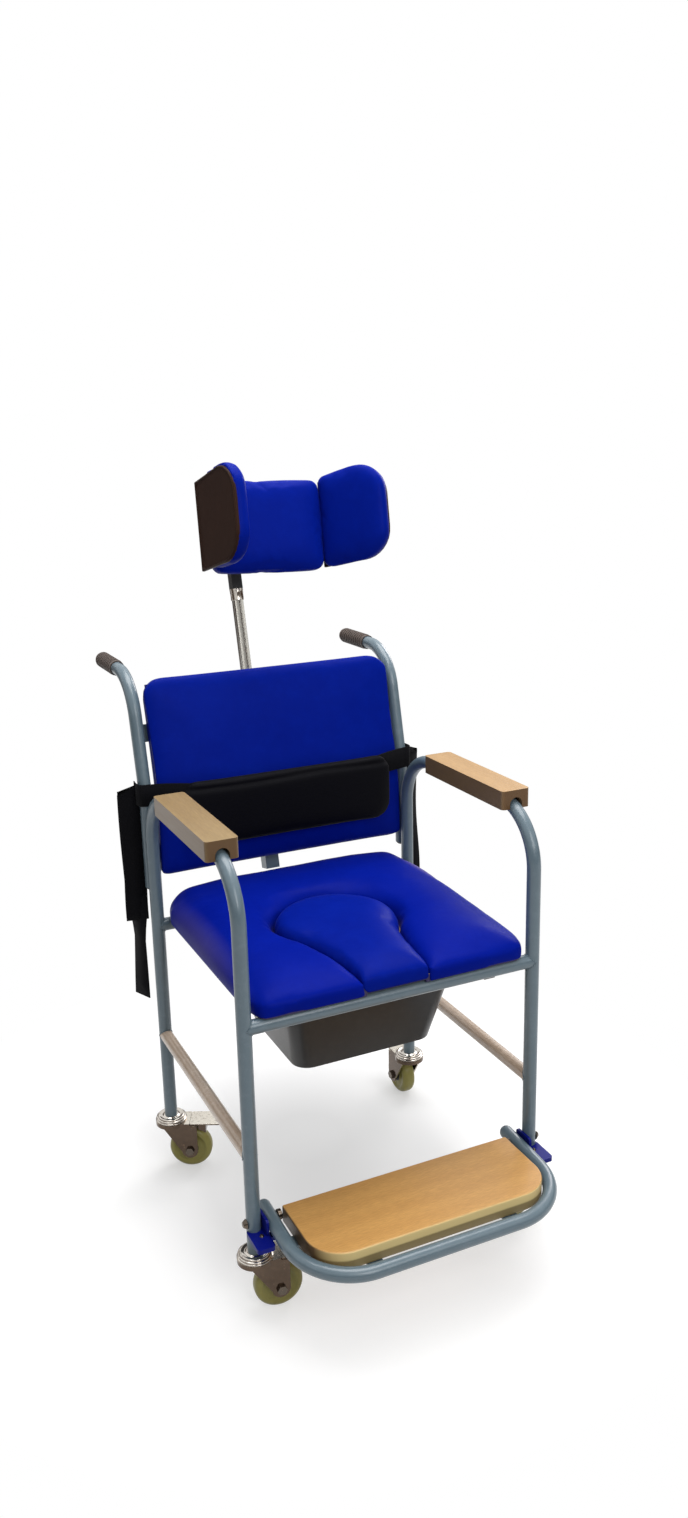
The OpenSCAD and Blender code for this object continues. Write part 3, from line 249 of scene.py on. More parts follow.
def makeWood(name, light, dark, ends, along, rough=0.36, shade=None, flank=None):
    # grain along one axis; cut faces in their own tone, with painted shade on them below the height named by
    # shade; faces looking along x take the flank tone
    material, f = newFinish(name)
    far, near = {"x": ((1.2, 9, 9), (3.2, 60, 60)), "y": ((9, 1.2, 9), (60, 3.2, 60))}[along]
    drift = cloud(f, placed(f, far), 1.6, 3.0, 0.5, 0.8)
    figure = waves(f, placed(f, far), 0.9, "Y" if along == "x" else "X", 5.0, 3.0)
    fibre = cloud(f, placed(f, near), 5.0, 5.0, 0.62)
    pores = (cloud(f, placed(f, tuple(k * 7 for k in near)), 3.0, 2.0).power(5.0) * 6.0).limit(0.0, 0.3)
    mask = (figure * 0.28 + fibre * 0.4 + drift * 0.5 - 0.2).unit()
    tone = pores.blend(mask.blend(light, dark), dim(dark, 0.5))
    if flank:
        tone = (facing(f, (1, 0, 0)) * 1.6 - 0.6).unit().blend(tone, flank)
    end = (facing(f, (0, 1, 0)) * 1.6 - 0.6).unit()
    cut = ends
    # painted shade: below the shade height the cut faces go much darker
    if shade:
        height = f.make("ShaderNodeSeparateXYZ", {}, {"Vector": placed(f)}, "Z")
        cut = ((height - shade) * 400.0).unit().blend(dim(ends, 0.34), ends)
    return close(material, f, Base_Color=(end * 0.9).blend(tone, cut), Roughness=fibre * 0.14 + (rough - 0.07),
                 Normal=bump(f, fibre * 0.6 + pores, 0.0002, 0.3), Specular_IOR_Level=0.3,
                 Coat_Weight=0.12, Coat_Roughness=0.25)


def makePlastic(name, base, other, rough, grain=600.0, deep=0.00008, sheen=0.0, shine=0.3):
    # moulded skin: fine grit, slow tone and small pale scuffs
    material, f = newFinish(name)
    here = placed(f)
    grit, tone = cloud(f, here, grain, 2.0), cloud(f, here, 12.0, 4.0)
    scuff = cloud(f, here, 75.0, 5.0, 0.7).power(8.0) * 12.0
    mask = (tone * 0.6 + scuff.limit(0.0, 0.35)).unit()
    return close(material, f, Base_Color=mask.blend(base, other),
                 Roughness=grit * 0.12 + tone * 0.12 + (rough - 0.1), Normal=bump(f, grit, deep, 0.6),
                 Sheen_Weight=sheen, Specular_IOR_Level=shine)


def makeWebbing(name, base, other, ribs=620.0):
    # ribs across the strap and a fine weave, on the strap's own map in metres
    material, f = newFinish(name)
    here = mapped(f)
    weave = waves(f, here, ribs / 6.28, "X", 0.4) * 0.6 + waves(f, here, ribs / 5.0, "Y", 0.3) * 0.4
    fuzz = cloud(f, here, 900.0, 2.0)
    return close(material, f, Base_Color=(weave * 0.6 + fuzz * 0.4).unit().blend(base, other),
                 Roughness=weave * 0.15 + 0.66, Normal=bump(f, weave + fuzz * 0.3, 0.0004, 0.6),
                 Sheen_Weight=0.02, Sheen_Roughness=0.5, Specular_IOR_Level=0.06)


def makeFoam(name, base, other):
    # brushed knit over foam
    material, f = newFinish(name)
    here = placed(f)
    knit, tone = cells(f, here, 620.0), cloud(f, here, 14.0, 4.0)
    return close(material, f, Base_Color=(knit * 0.5 + tone * 0.4).unit().blend(base, other),
                 Roughness=tone * 0.2 + 0.5, Normal=bump(f, knit, 0.0003, 0.5),
                 Sheen_Weight=0.02, Sheen_Roughness=0.4, Specular_IOR_Level=0.06)


vinylSheen = color(0.7, 0.6, 1.0)
wrapped = color(0.001, 0.005, 0.08)
# armEnd is the arms' darker end grain; armSideShade darkens their side faces: painted shade
armEnd, armSideShade = color(0.105, 0.05, 0.017), color(0.18, 0.115, 0.058)
finishes = {
    "blue_vinyl": makeVinyl("blueVinyl", color(0.0014, 0.0125, 0.262), color(0.001, 0.008, 0.2), vinylSheen),
    "brown_vinyl": makeVinyl("brownVinyl", color(0.034, 0.0155, 0.010), color(0.022, 0.010, 0.007),
                             color(1.0, 0.8, 0.7), 0.03, 700.0, 0.4, 0.06),
    "frame_paint": makePaint("framePaint", color(0.098, 0.146, 0.178), color(0.14, 0.192, 0.226), 0.3, 0.5,
                             0.25),
    "chrome": makeChrome("casterChrome", color(0.56, 0.52, 0.47)),
    "wheel_rubber": makePlastic("treadRubber", color(0.3, 0.27, 0.075), color(0.21, 0.185, 0.055), 0.34,
                                300.0, 0.0002),
    "black_plastic": makePlastic("blackPlastic", color(0.012, 0.012, 0.014), color(0.028, 0.028, 0.03), 0.42),
    "black_steel": makePaint("blackSteel", color(0.01, 0.01, 0.012), color(0.03, 0.03, 0.032), 0.4),
    "grip_rubber": makePlastic("gripRubber", color(0.055, 0.038, 0.031), color(0.1, 0.07, 0.056), 0.5,
                               350.0, 0.0002, 0.1),
    "beech": makeWood("armBeech", color(0.488, 0.3, 0.128), color(0.377, 0.219, 0.087), armEnd, "y",
                      flank=armSideShade),
    "plywood": makeWood("plywoodCore", color(0.4, 0.27, 0.14), color(0.28, 0.18, 0.09), wrapped, "x", 0.6,
                        flank=wrapped),
    "pan_plastic": makePlastic("panPlastic", color(0.024, 0.024, 0.025), color(0.036, 0.035, 0.034), 0.3,
                               500.0),
    "blue_plastic": makePlastic("bluePlastic", color(0.001, 0.004, 0.17), color(0.004, 0.01, 0.2), 0.32,
                                shine=0.15),
    "belt_foam": makeFoam("beltFoam", color(0.0012, 0.0012, 0.0022), color(0.0035, 0.0035, 0.0055)),
    "webbing": makeWebbing("blackWebbing", color(0.0015, 0.0015, 0.0024), color(0.005, 0.005, 0.0065)),
}
mauveSheen = color(0.4, 0.31, 0.5)
# each painted sheen patch: its middle and its reach along the three axes in metres, its colour and its strength
seatSheenPatches = (((0.236, 0.07, 0.505), (0.05, 0.12, 0.06), mauveSheen, 0.95),
               ((-0.235, -0.02, 0.5), (0.042, 0.24, 0.06), mauveSheen, 0.2))
seatVinyl = makeVinyl("seatVinyl", color(0.0014, 0.0105, 0.268), color(0.001, 0.007, 0.205), vinylSheen,
                      sheenPatches=seatSheenPatches)
# the footrest's cut faces go dark below 0.147 m: painted shade; its faces looking along x are dark
boardBeech = makeWood("footBeech", color(0.66, 0.36, 0.112), color(0.52, 0.265, 0.075), color(0.82, 0.66, 0.31),
                      "x", shade=0.147, flank=color(0.1, 0.055, 0.022))
# a darker copy of the arm beech for the left arm: painted shade
armShade = makeWood("armShade", color(0.355, 0.244, 0.1), color(0.274, 0.179, 0.068), armEnd, "y",
                    flank=armSideShade)
darkSteel = makeChrome("darkSteel", color(0.13, 0.11, 0.09), 0.22)
stemChrome = makeChrome("stemChrome", color(0.36, 0.35, 0.32), 0.14)
# the forks' upright faces in dark brown and the covers' upright faces in grey: painted reflection
forkChrome = makeChrome("forkChrome", color(0.8, 0.75, 0.66), 0.13, color(0.115, 0.083, 0.062))
ringChrome = makeChrome("ringChrome", color(0.72, 0.68, 0.62), 0.06, color(0.42, 0.37, 0.33))
# the side stretchers in brown and cream: a painted reflection of the floor and room over the frame paint
stretcherReflection = makePaint("stretcherReflection", color(0.46, 0.335, 0.24), color(0.7, 0.57, 0.45), 0.24, 0.6, 0.4)
# nodes that don't wear the common finish of their slot
ownFinish = {"side_stretchers": stretcherReflection, "bracket_screws": darkSteel, "pivot_bolts": darkSteel,
             "back_board": finishes["blue_vinyl"], "footrest_board": boardBeech, "left_arm_pad": armShade,
             "headrest_stem": stemChrome}
print("finishes made")

for name, slotName in slotOf.items():
    thing = bpy.data.objects.get(name)
    if thing:
        thing.data.materials.clear()
        thing.data.materials.append(ownFinish.get(name, finishes[slotName]))


# mesh helpers

def finishPiece(name, mesh, slotName, body, replaced=(), material=None, smooth=True, levels=0):
    piece = added(name, mesh)
    mesh.materials.clear()
    mesh.materials.append(material or finishes[slotName])
    for face in mesh.polygons:
        face.use_smooth = smooth
        face.material_index = 0
    if levels:
        mod = piece.modifiers.new("smooth", "SUBSURF")
        mod.levels = mod.render_levels = levels
    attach(piece, body)
    if replaced:
        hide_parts(*replaced)
    return piece


def fromBmesh(bm, name, tidy=True):
    if tidy:
        bmesh.ops.remove_doubles(bm, verts=bm.verts, dist=1e-6)
        bmesh.ops.recalc_face_normals(bm, faces=bm.faces)
    mesh = bpy.data.meshes.new(name)
    bm.to_mesh(mesh)
    bm.free()
    return mesh


def plain(thing):
    # the evaluated shape as a mesh of its own
    return bpy.data.meshes.new_from_object(thing.evaluated_get(bpy.context.evaluated_depsgraph_get()))


broken = {"merge": 2e-6, "flat": math.radians(1.0), "sharp": math.radians(28), "segments": 2}


def softened(node, width, material=None):
    # a copy of a hard CAD piece with its edges broken, in its place
    bm = bmesh.new()
    bm.from_mesh(bpy.data.objects[node].data)
    bmesh.ops.remove_doubles(bm, verts=bm.verts, dist=broken["merge"])
    bmesh.ops.dissolve_limit(bm, angle_limit=broken["flat"], verts=bm.verts, edges=bm.edges)
    mesh = fromBmesh(bm, node + "Soft", False)
    piece = finishPiece(node + "Soft", mesh, slotOf[node], bodyOf[node], (node,), material)
    mesh.set_sharp_from_angle(angle=broken["sharp"])
    mod = piece.modifiers.new("edges", "BEVEL")
    mod.width, mod.segments = width * 0.001, broken["segments"]
    mod.limit_method, mod.angle_limit = "ANGLE", broken["sharp"]
    mod.harden_normals = True


def spin(bm, outline, origin, axis, steps=48):
    # turns a profile of (radius, height) points in metres round an axis
    axis = axis.normalized()
    side = axis.orthogonal().normalized()
    other = axis.cross(side)
    rings = []
    for r, h in outline:
        rings.append([bm.verts.new(origin + axis * h + (side * math.cos(2 * math.pi * k / steps)
                      + other * math.sin(2 * math.pi * k / steps)) * r) for k in range(steps)] if r > 1e-7
                     else [bm.verts.new(origin + axis * h)])
    for a, b in zip(rings, rings[1:]):
        for k in range(steps):
            n = (k + 1) % steps
            if len(a) == 1 and len(b) > 1:
                bm.faces.new((a[0], b[k], b[n]))
            elif len(b) == 1 and len(a) > 1:
                bm.faces.new((a[k], b[0], a[n]))
            elif len(a) > 1:
                bm.faces.new((a[k], b[k], b[n], a[n]))


def fill(points, step=5.0):
    # a closed outline with no stretch longer than step
    dense = []
    for a, b in zip(points, points[1:] + points[:1]):
        gap = math.dist(a, b)
        if gap > 1e-6:
            count = max(1, int(gap / step))
            dense += [tuple(p + (q - p) * k / count for p, q in zip(a, b)) for k in range(count)]
    return dense


def arc(center, r, start, sweep=90, count=8):
    return [(center[0] + r * math.cos(math.radians(start + sweep * k / count)),
             center[1] + r * math.sin(math.radians(start + sweep * k / count))) for k in range(count + 1)]


def roundOutline(hu, hv, radii, step=5.0, center=(0.0, 0.0)):
    # a rounded rectangle as closely spaced points, counter-clockwise; radii from the +u +v corner
    points = []
    for (u, v, start), r in zip([(hu, hv, 0), (-hu, hv, 90), (-hu, -hv, 180), (hu, -hv, 270)], radii):
        points += arc((center[0] + u - math.copysign(r, u), center[1] + v - math.copysign(r, v)), r, start)
    return fill(points, step)


# pieces that repeat or follow a path

def newTree(name, sockets):
    tree = bpy.data.node_groups.new(name, "GeometryNodeTree")
    tree.interface.new_socket("Geometry", in_out="INPUT", socket_type="NodeSocketGeometry")
    tree.interface.new_socket("Geometry", in_out="OUTPUT", socket_type="NodeSocketGeometry")
    for label, kind in (*sockets, ("Finish", "Material")):
        tree.interface.new_socket(label, in_out="INPUT", socket_type="NodeSocket" + kind)
    f = Flow(tree)
    labels = ["Geometry"] + [label for label, _ in sockets] + ["Finish"]
    return tree, f, {label: f.make("NodeGroupInput", out=label) for label in labels}


def endTree(f, shape, finish, smooth=False):
    real = f.make("GeometryNodeRealizeInstances", {}, {0: shape})
    if smooth:
        real = f.make("GeometryNodeSetShadeSmooth", {}, {0: real})
    dressed = f.make("GeometryNodeSetMaterial", {}, {"Geometry": real, "Material": finish})
    f.make("NodeGroupOutput", {}, {0: dressed})


def grown(name, mesh, tree, values):
    # the tree's result on a mesh, as a plain mesh
    holder = added(name, mesh)
    mod = holder.modifiers.new("nodes", "NODES")
    mod.node_group = tree
    for item in tree.interface.items_tree:
        if item.in_out == "INPUT" and item.name in values:
            mod[item.identifier] = values[item.name]
    result = plain(holder)
    holder.modifiers.remove(mod)
    bpy.data.objects.remove(holder)
    return result


def pathMesh(name, paths, closed=True):
    mesh = bpy.data.meshes.new(name)
    points, edges = [], []
    for path in paths:
        first = len(points)
        points += path
        edges += [(first + k, first + k + 1) for k in range(len(path) - 1)]
        if closed:
            edges.append((first + len(path) - 1, first))
    mesh.from_pydata(points, edges, [])
    return mesh


def makeBeadTree():
    # small rounded beads in a row along each path: weld ripples and stitches
    tree, f, given = newTree("beadRow", [("Spacing", "Float"), ("Length", "Float"), ("Thickness", "Float"),
                                         ("Jitter", "Float"), ("Seed", "Int")])
    curve = f.make("GeometryNodeMeshToCurve", {}, {0: given["Geometry"]})
    row = f.make("GeometryNodeResampleCurve", {"mode": "LENGTH"}, {"Curve": curve, "Length": given["Spacing"]})
    bead = f.make("GeometryNodeMeshUVSphere", {}, {"Segments": 8, "Rings": 4, "Radius": 0.5})
    wobble = f.make("FunctionNodeRandomValue", {"data_type": "FLOAT"},
                    {2: 0.0, 3: 1.0, "Seed": given["Seed"]}, 1)
    size = 1.0 - wobble * given["Jitter"]
    thick = size * given["Thickness"]
    shape = f.make("ShaderNodeCombineXYZ", {}, {0: thick, 1: thick, 2: size * given["Length"]})
    tangent = f.make("GeometryNodeInputTangent")
    along = f.make("FunctionNodeAlignRotationToVector", {"axis": "Z"}, {"Vector": tangent})
    beads = f.make("GeometryNodeInstanceOnPoints", {}, {"Points": row, "Instance": bead, "Rotation": along,
                                                        "Scale": shape})
    endTree(f, beads, given["Finish"], True)
    return tree


def makeCordTree():
    # a round bead of even thickness along each path: piping on a sewn edge
    tree, f, given = newTree("piping", [("Radius", "Float")])
    curve = f.make("GeometryNodeMeshToCurve", {}, {0: given["Geometry"]})
    ring = f.make("GeometryNodeCurvePrimitiveCircle", {"mode": "RADIUS"},
                  {"Resolution": 8, "Radius": given["Radius"]})
    tube = f.make("GeometryNodeCurveToMesh", {}, {"Curve": curve, "Profile Curve": ring, "Fill Caps": True})
    endTree(f, tube, given["Finish"])
    return tree


def makeHeadTree():
    # one fastener head with its washer on each point, its axis along the point's own direction
    tree, f, given = newTree("fastenerHeads", [("Radius", "Float"), ("Height", "Float")])
    dome = f.make("GeometryNodeMeshCone", {}, {"Vertices": 24, "Side Segments": 2, "Radius Top": 0.55,
                                               "Radius Bottom": 1.0, "Depth": 1.0})
    washer = f.make("GeometryNodeMeshCylinder", {}, {"Vertices": 24, "Radius": 1.5, "Depth": 0.35})
    head = f.make("GeometryNodeJoinGeometry", {}, {0: dome})
    f.tree.links.new(washer.socket, head.socket.node.inputs[0])
    aim = f.make("GeometryNodeInputNamedAttribute", {"data_type": "FLOAT_VECTOR"}, {"Name": "aim"})
    along = f.make("FunctionNodeAlignRotationToVector", {"axis": "Z"}, {"Vector": aim})
    shape = f.make("ShaderNodeCombineXYZ", {}, {0: given["Radius"], 1: given["Radius"], 2: given["Height"]})
    heads = f.make("GeometryNodeInstanceOnPoints", {}, {"Points": given["Geometry"], "Instance": head,
                                                        "Rotation": along, "Scale": shape})
    endTree(f, heads, given["Finish"])
    return tree


beadTree, cordTree, headTree = makeBeadTree(), makeCordTree(), makeHeadTree()


def beadRow(name, paths, plan, slotName, body, closed=True):
    mesh = grown(name + "Path", pathMesh(name + "Path", paths, closed), beadTree,
                 {"Spacing": plan["spacing"] * 0.001, "Length": plan["length"] * 0.001,
                  "Thickness": plan["thick"] * 0.001, "Jitter": plan["jitter"], "Seed": plan.get("seed", 7),
                  "Finish": finishes[slotName]})
    finishPiece(name, mesh, slotName, body)


def piping(name, paths, radius, slotName, body):
    mesh = grown(name + "Path", pathMesh(name + "Path", paths), cordTree,
                 {"Radius": radius * 0.001, "Finish": finishes[slotName]})
    finishPiece(name, mesh, slotName, body)


def heads(name, spots, plan, slotName, body):
    mesh = bpy.data.meshes.new(name + "Spots")
    mesh.from_pydata([p for p, _ in spots], [], [])
    aim = mesh.attributes.new("aim", "FLOAT_VECTOR", "POINT")
    for k, (_, way) in enumerate(spots):
        aim.data[k].vector = way
    sizes = {"Radius": plan["radius"] * 0.001, "Height": plan["height"] * 0.001}
    done = grown(name + "Spots", mesh, headTree, {**sizes, "Finish": finishes[slotName]})
    finishPiece(name, done, slotName, body, smooth=False)


# cushions

sewn = {"side": 6, "smooth": 0.5, "seat": 0.8, "slack": 1.0}


def cushion(name, outline, plan, toPlace, slotName, body, replaced, seams=(), tune=None, material=None):
    # a padded piece in flat millimetres (u, v, w): blocked out, remeshed, crowned, blown up, then placed
    low, edge, crown = plan["low"], plan["edge"], plan["crown"]
    raised, tight = (plan.get(key, lambda u, v: 0.0) for key in ("raised", "tight"))
    pairs = list(zip(outline[-1:] + outline[:-1], outline[1:] + outline[:1]))
    turn = math.copysign(1, sum(a[0] * b[1] - b[0] * a[1] for a, b in zip(outline, outline[1:] + outline[:1])))
    outward = [Vector((b[1] - a[1], a[0] - b[0])).normalized() * turn for a, b in pairs]
    bm = bmesh.new()
    bottom = [bm.verts.new((u, v, low)) for u, v in outline]
    top = [bm.verts.new((u, v, edge)) for u, v in outline]
    for k in range(len(outline)):
        n = (k + 1) % len(outline)
        bm.faces.new((bottom[k], bottom[n], top[n], top[k]))
    bm.faces.new(list(reversed(bottom)))
    bm.faces.new(top)
    bmesh.ops.triangulate(bm, faces=[face for face in bm.faces if len(face.verts) > 4])
    block = added(name + "Block", fromBmesh(bm, name + "Block"))
    mod = block.modifiers.new("grid", "REMESH")
    mod.mode, mod.voxel_size = "VOXEL", plan["voxel"]
    mesh = plain(block)
    bpy.data.objects.remove(block)
    tree = kdtree.KDTree(len(outline))
    for k, (u, v) in enumerate(outline):
        tree.insert((u, v, 0), k)
    tree.balance()
    depth, hold = edge - low, plan.get("hold", 0.4)
    kept = []
    for vert in mesh.vertices:
        u, v, w = vert.co
        spot, near, inside = tree.find((u, v, 0))
        share = min(inside / (plan["reach"] - tight(spot.x, spot.y)), 1.0)
        t = unit((w - low) / depth)
        lift = min(raised(spot.x, spot.y), crown - edge)
        w += ((crown - edge - lift) * (1 - (1 - share) ** plan["power"]) + lift) * t * t
        if inside < sewn["side"]:
            # sides swell in the middle of their height and draw in at the bottom
            out = outward[near]
            swell = plan["bulge"] * math.sin(math.pi * t) - plan.get("pull", 0.0) * (1 - t) ** 2
            u, v = u + out.x * swell, v + out.y * swell
        kept.append(max(0.0, 1 - t / hold))
        vert.co = (u, v, w)
    firm = [vert.co.copy() for vert in mesh.vertices]
    bm = bmesh.new()
    bm.from_mesh(mesh)
    for _ in range(plan["rounds"]):
        bmesh.ops.smooth_vert(bm, verts=bm.verts, factor=sewn["smooth"], use_axis_x=True, use_axis_y=True,
                              use_axis_z=True)
    bm.to_mesh(mesh)
    bm.free()
    for vert, old, keep in zip(mesh.vertices, firm, kept):
        vert.co = vert.co.lerp(old, keep) * 0.001
    blow(name, mesh, plan.get("pressure", 3.0), plan["cap"] * 0.001)
    for vert, keep in zip(mesh.vertices, kept):
        u, v, w = vert.co * 1000
        w = max(w, low) if keep < sewn["seat"] else min(max(w, low), low + sewn["slack"])
        for line in seams:
            u, v, w = line(u, v, w)
        if tune:
            u, v, w = tune(u, v, w)
        vert.co = toPlace(u, v, w)
    piece = finishPiece(name, mesh, slotName, body, replaced, material, levels=1)
    print("cushion", name, len(mesh.vertices))


vinylCloth = {"quality": 4, "mass": 0.3, "tension_stiffness": 18, "compression_stiffness": 18,
              "shear_stiffness": 6, "bending_stiffness": 0.6, "use_pressure": True}
clothFrames = 20


def blow(name, mesh, pressure, cap):
    # cloth under air pressure; each point moves at most cap metres
    piece = added(name + "Cloth", mesh.copy())
    mod = piece.modifiers.new("cloth", "CLOTH")
    for key, value in vinylCloth.items():
        setattr(mod.settings, key, value)
    mod.settings.uniform_pressure_force = pressure
    mod.settings.effector_weights.gravity = 0
    mod.point_cache.frame_start, mod.point_cache.frame_end = 1, clothFrames
    for number in range(1, clothFrames + 1):
        scene.frame_set(number)
    done = piece.evaluated_get(bpy.context.evaluated_depsgraph_get()).data
    moved = [v.co.copy() for v in done.vertices]
    scene.frame_set(1)
    for vert, new in zip(mesh.vertices, moved):
        step = new - vert.co
        if step.length > cap:
            step = step.normalized() * cap
        if step.length == step.length:
            vert.co = vert.co + step
    bpy.data.objects.remove(piece)


def groove(near, width, deep, above):
    # a sewn line pressed into the top of a cushion; near gives a point's distance from the line
    def press(u, v, w):
        gap = near(u, v)
        return (u, v, w - deep * (1 - gap / width) ** 2) if gap < width and w > above else (u, v, w)
    return press


def ribbon(name, points, sides, plan, slotName, body, replaced=()):
    # a flat strap through points, its width along the matching side directions; map in metres
    wide, thick = plan["width"] * 0.0005, plan["thick"] * 0.0005
    bm = bmesh.new()
    layer = bm.loops.layers.uv.new("strap")
    rings, run = [], [0.0]
    for a, b in zip(points, points[1:]):
        run.append(run[-1] + (b - a).length)
    edge = thick * 0.45
    ring = [(wide - edge, thick), (-wide + edge, thick), (-wide, 0), (-wide + edge, -thick),
            (wide - edge, -thick), (wide, 0)]
    for k, (p, side) in enumerate(zip(points, sides)):
        ahead = (points[min(k + 1, len(points) - 1)] - points[max(k - 1, 0)]).normalized()
        side = (side - ahead * side.dot(ahead)).normalized()
        over = side.cross(ahead).normalized()
        cut = ahead * plan.get("slant", 0.0) * 0.001 if k == 0 else Vector()
        rings.append([(bm.verts.new(p + side * a + over * b + cut * (1 + a / wide)), a) for a, b in ring])
    for k, (r0, r1) in enumerate(zip(rings, rings[1:])):
        for j in range(6):
            n = (j + 1) % 6
            quad = [(r0[j], run[k]), (r1[j], run[k + 1]), (r1[n], run[k + 1]), (r0[n], run[k])]
            face = bm.faces.new([q[0][0] for q in quad])
            for loop, q in zip(face.loops, quad):
                loop[layer].uv = (q[1], q[0][1])
    for row, length in ((rings[0], run[0]), (rings[-1], run[-1])):
        for loop in bm.faces.new([v for v, _ in row]).loops:
            loop[layer].uv = (length, 0)
    bmesh.ops.recalc_face_normals(bm, faces=bm.faces)
    finishPiece(name, fromBmesh(bm, name, False), slotName, body, replaced)


def bent(points, steps=8):
    # a smooth path through a few points
    out, n = [], len(points)
    for k in range(n - 1):
        p0, p1, p2, p3 = points[max(k - 1, 0)], points[k], points[k + 1], points[min(k + 2, n - 1)]
        for j in range(steps):
            t = j / steps
            out.append(0.5 * ((2 * p1) + (p2 - p0) * t + (2 * p0 - 5 * p1 + 4 * p2 - p3) * t * t
                              + (3 * p1 - p0 - 3 * p2 + p3) * t ** 3))
    return out + [points[-1]]


# frame: broken edges, weld beads, bolt heads

edgeWidth = {"left_arm_pad": 2.6, "right_arm_pad": 2.6, "footrest_board": 2.6, "stop_brackets": 1.2,
             "left_wing_board": 1.6, "right_wing_board": 1.6, "head_board": 1.5, "head_plate": 0.7,
             "headrest_bracket": 1.0, "headrest_stem": 0.8, "stem_collar": 0.4, "clamp_knob": 1.0,
             "headrest_post": 1.6, "back_straps": 1.0, "pan": 1.2, "pivot_bolts": 0.6, "tube_plugs": 0.8,
             "footrest_screws": 0.3}
for node, width in edgeWidth.items():
    softened(node, width, ownFinish.get(node))
casterEdges = {"fork_": (0.7, forkChrome), "pedal_": (0.6, forkChrome), "axle_": (0.5, darkSteel)}
for corner in ("fl", "fr", "rl", "rr"):
    for part, (width, finish) in casterEdges.items():
        softened(part + corner, width, finish)
print("edges broken")

tube = {"radius": 11, "legX": 240, "legs": (0, 412), "railZ": 461, "stretcherZ": 257, "bead": 0.3}
ring = [(math.cos(k * math.pi / 18), math.sin(k * math.pi / 18)) for k in range(36)]
welds = []
for side in (-1, 1):
    for leg, way in zip(tube["legs"], (1, -1)):
        r = tube["radius"] + tube["bead"]
        welds.append([at(side * tube["legX"] + r * c, leg + way * r * abs(s), tube["stretcherZ"] + r * s)
                      for c, s in ring])
        welds.append([at(side * (tube["legX"] - r * abs(s)), leg + r * c, tube["railZ"] + r * s)
                      for c, s in ring])
beadRow("weldBeads", welds, {"spacing": 1.9, "length": 2.2, "thick": 2.3, "jitter": 0.25, "seed": 11},
        "frame_paint", "frame")

# the uprights' centre line: where it starts to lean back, and how far it leans
upright = {"y": 434, "z": 681, "lean": math.radians(13.2)}
lean = upright["lean"]
bolts = {"x": (-150, 60, 150), "low": (450.2, 578), "high": (108, 16.2), "radius": 4.5, "height": 3.0}


def onLean(x, s, behind):
    # a point on the leaning part: sideways, along it from its start, behind the uprights
    return at(x, upright["y"] + s * math.sin(lean) + behind * math.cos(lean),
              upright["z"] + s * math.cos(lean) - behind * math.sin(lean))


boltSpots = [(at(x, *bolts["low"]), Vector((0, 1, 0))) for x in bolts["x"]]
boltSpots += [(onLean(x, *bolts["high"]), Vector((0, math.cos(lean), -math.sin(lean)))) for x in bolts["x"]]
heads("strapBolts", boltSpots, bolts, "chrome", "frame")

# casters: turned wheels with a rounded tread and black hub caps

casters = {"fl": (-240, 0, -5), "fr": (240, 0, 150), "rl": (-240, 412, -26), "rr": (240, 412, 90)}
wheel = {"radius": 37.5, "half": 13, "round": 9.5, "trail": 33,
         "web": [(0.6, 27), (2.2, 24), (2.2, 17), (0.8, 15), (0.8, 0)],
         "cap": [(0, 17.4), (5, 17.4), (6.2, 16.6), (9.5, 15.6), (14, 12.4), (14, 11.5), (0, 11.5)]}


def turnedPiece(name, profiles, slotName, body, steps, sharp, replaced=(), material=None):
    # each profile is in millimetres of (radius, height), with its origin and axis
    bm = bmesh.new()
    for outline, origin, axis in profiles:
        spin(bm, [(r * 0.001, h * 0.001) for r, h in outline], origin, axis, steps)
    finishPiece(name, fromBmesh(bm, name), slotName, body, replaced, material)
    bpy.data.objects[name].data.set_sharp_from_angle(angle=math.radians(sharp))


shoulder = arc((wheel["half"] - wheel["round"], wheel["radius"] - wheel["round"]), wheel["round"], 90, -90, 7)
side = shoulder + [(wheel["half"] - inset, r) for inset, r in wheel["web"]]
profile = [(r, -h) for h, r in reversed(side)] + [(r, h) for h, r in side]
for corner, (x, y, way) in casters.items():
    ahead = turned(way)
    axis = ahead.cross(Vector((0, 0, 1)))
    middle = at(x, y, wheel["radius"]) + ahead * wheel["trail"] * 0.001
    node = "wheel_" + corner
    turnedPiece("tyre_" + corner, [(profile, middle, axis)], "wheel_rubber", node, 64, 40, (node,))
    turnedPiece("hubCaps_" + corner, [(wheel["cap"], middle, axis * out) for out in (-1, 1)],
                "black_plastic", node, 40, 30)
# each mount: king pin, cover with rolled rings and a dished top, plug in the leg
cover = [(0, 84.8), (9, 84.8), (9, 87.8), (5, 87.8), (5, 91), (26.4, 91.1), (27.3, 91.7), (27.5, 92.5),
         (27.1, 93.4), (25.6, 93.9), (25.7, 94.6), (26.2, 95.4), (26.0, 96.4), (25.0, 97.0), (23.2, 97.1),
         (23.4, 98.0), (23.0, 99.2), (21.6, 99.8), (19.8, 99.2), (16.5, 98.2), (14.6, 98.4), (13.6, 99.6),
         (12.4, 100), (9.4, 100), (9.4, 124), (0, 124)]
turnedPiece("casterCovers", [(cover, at(x, y, 0), Vector((0, 0, 1))) for x, y, _ in casters.values()],
            "chrome", "frame", 56, 50, ("caster_mounts",), ringChrome)
print("casters made")

# seat

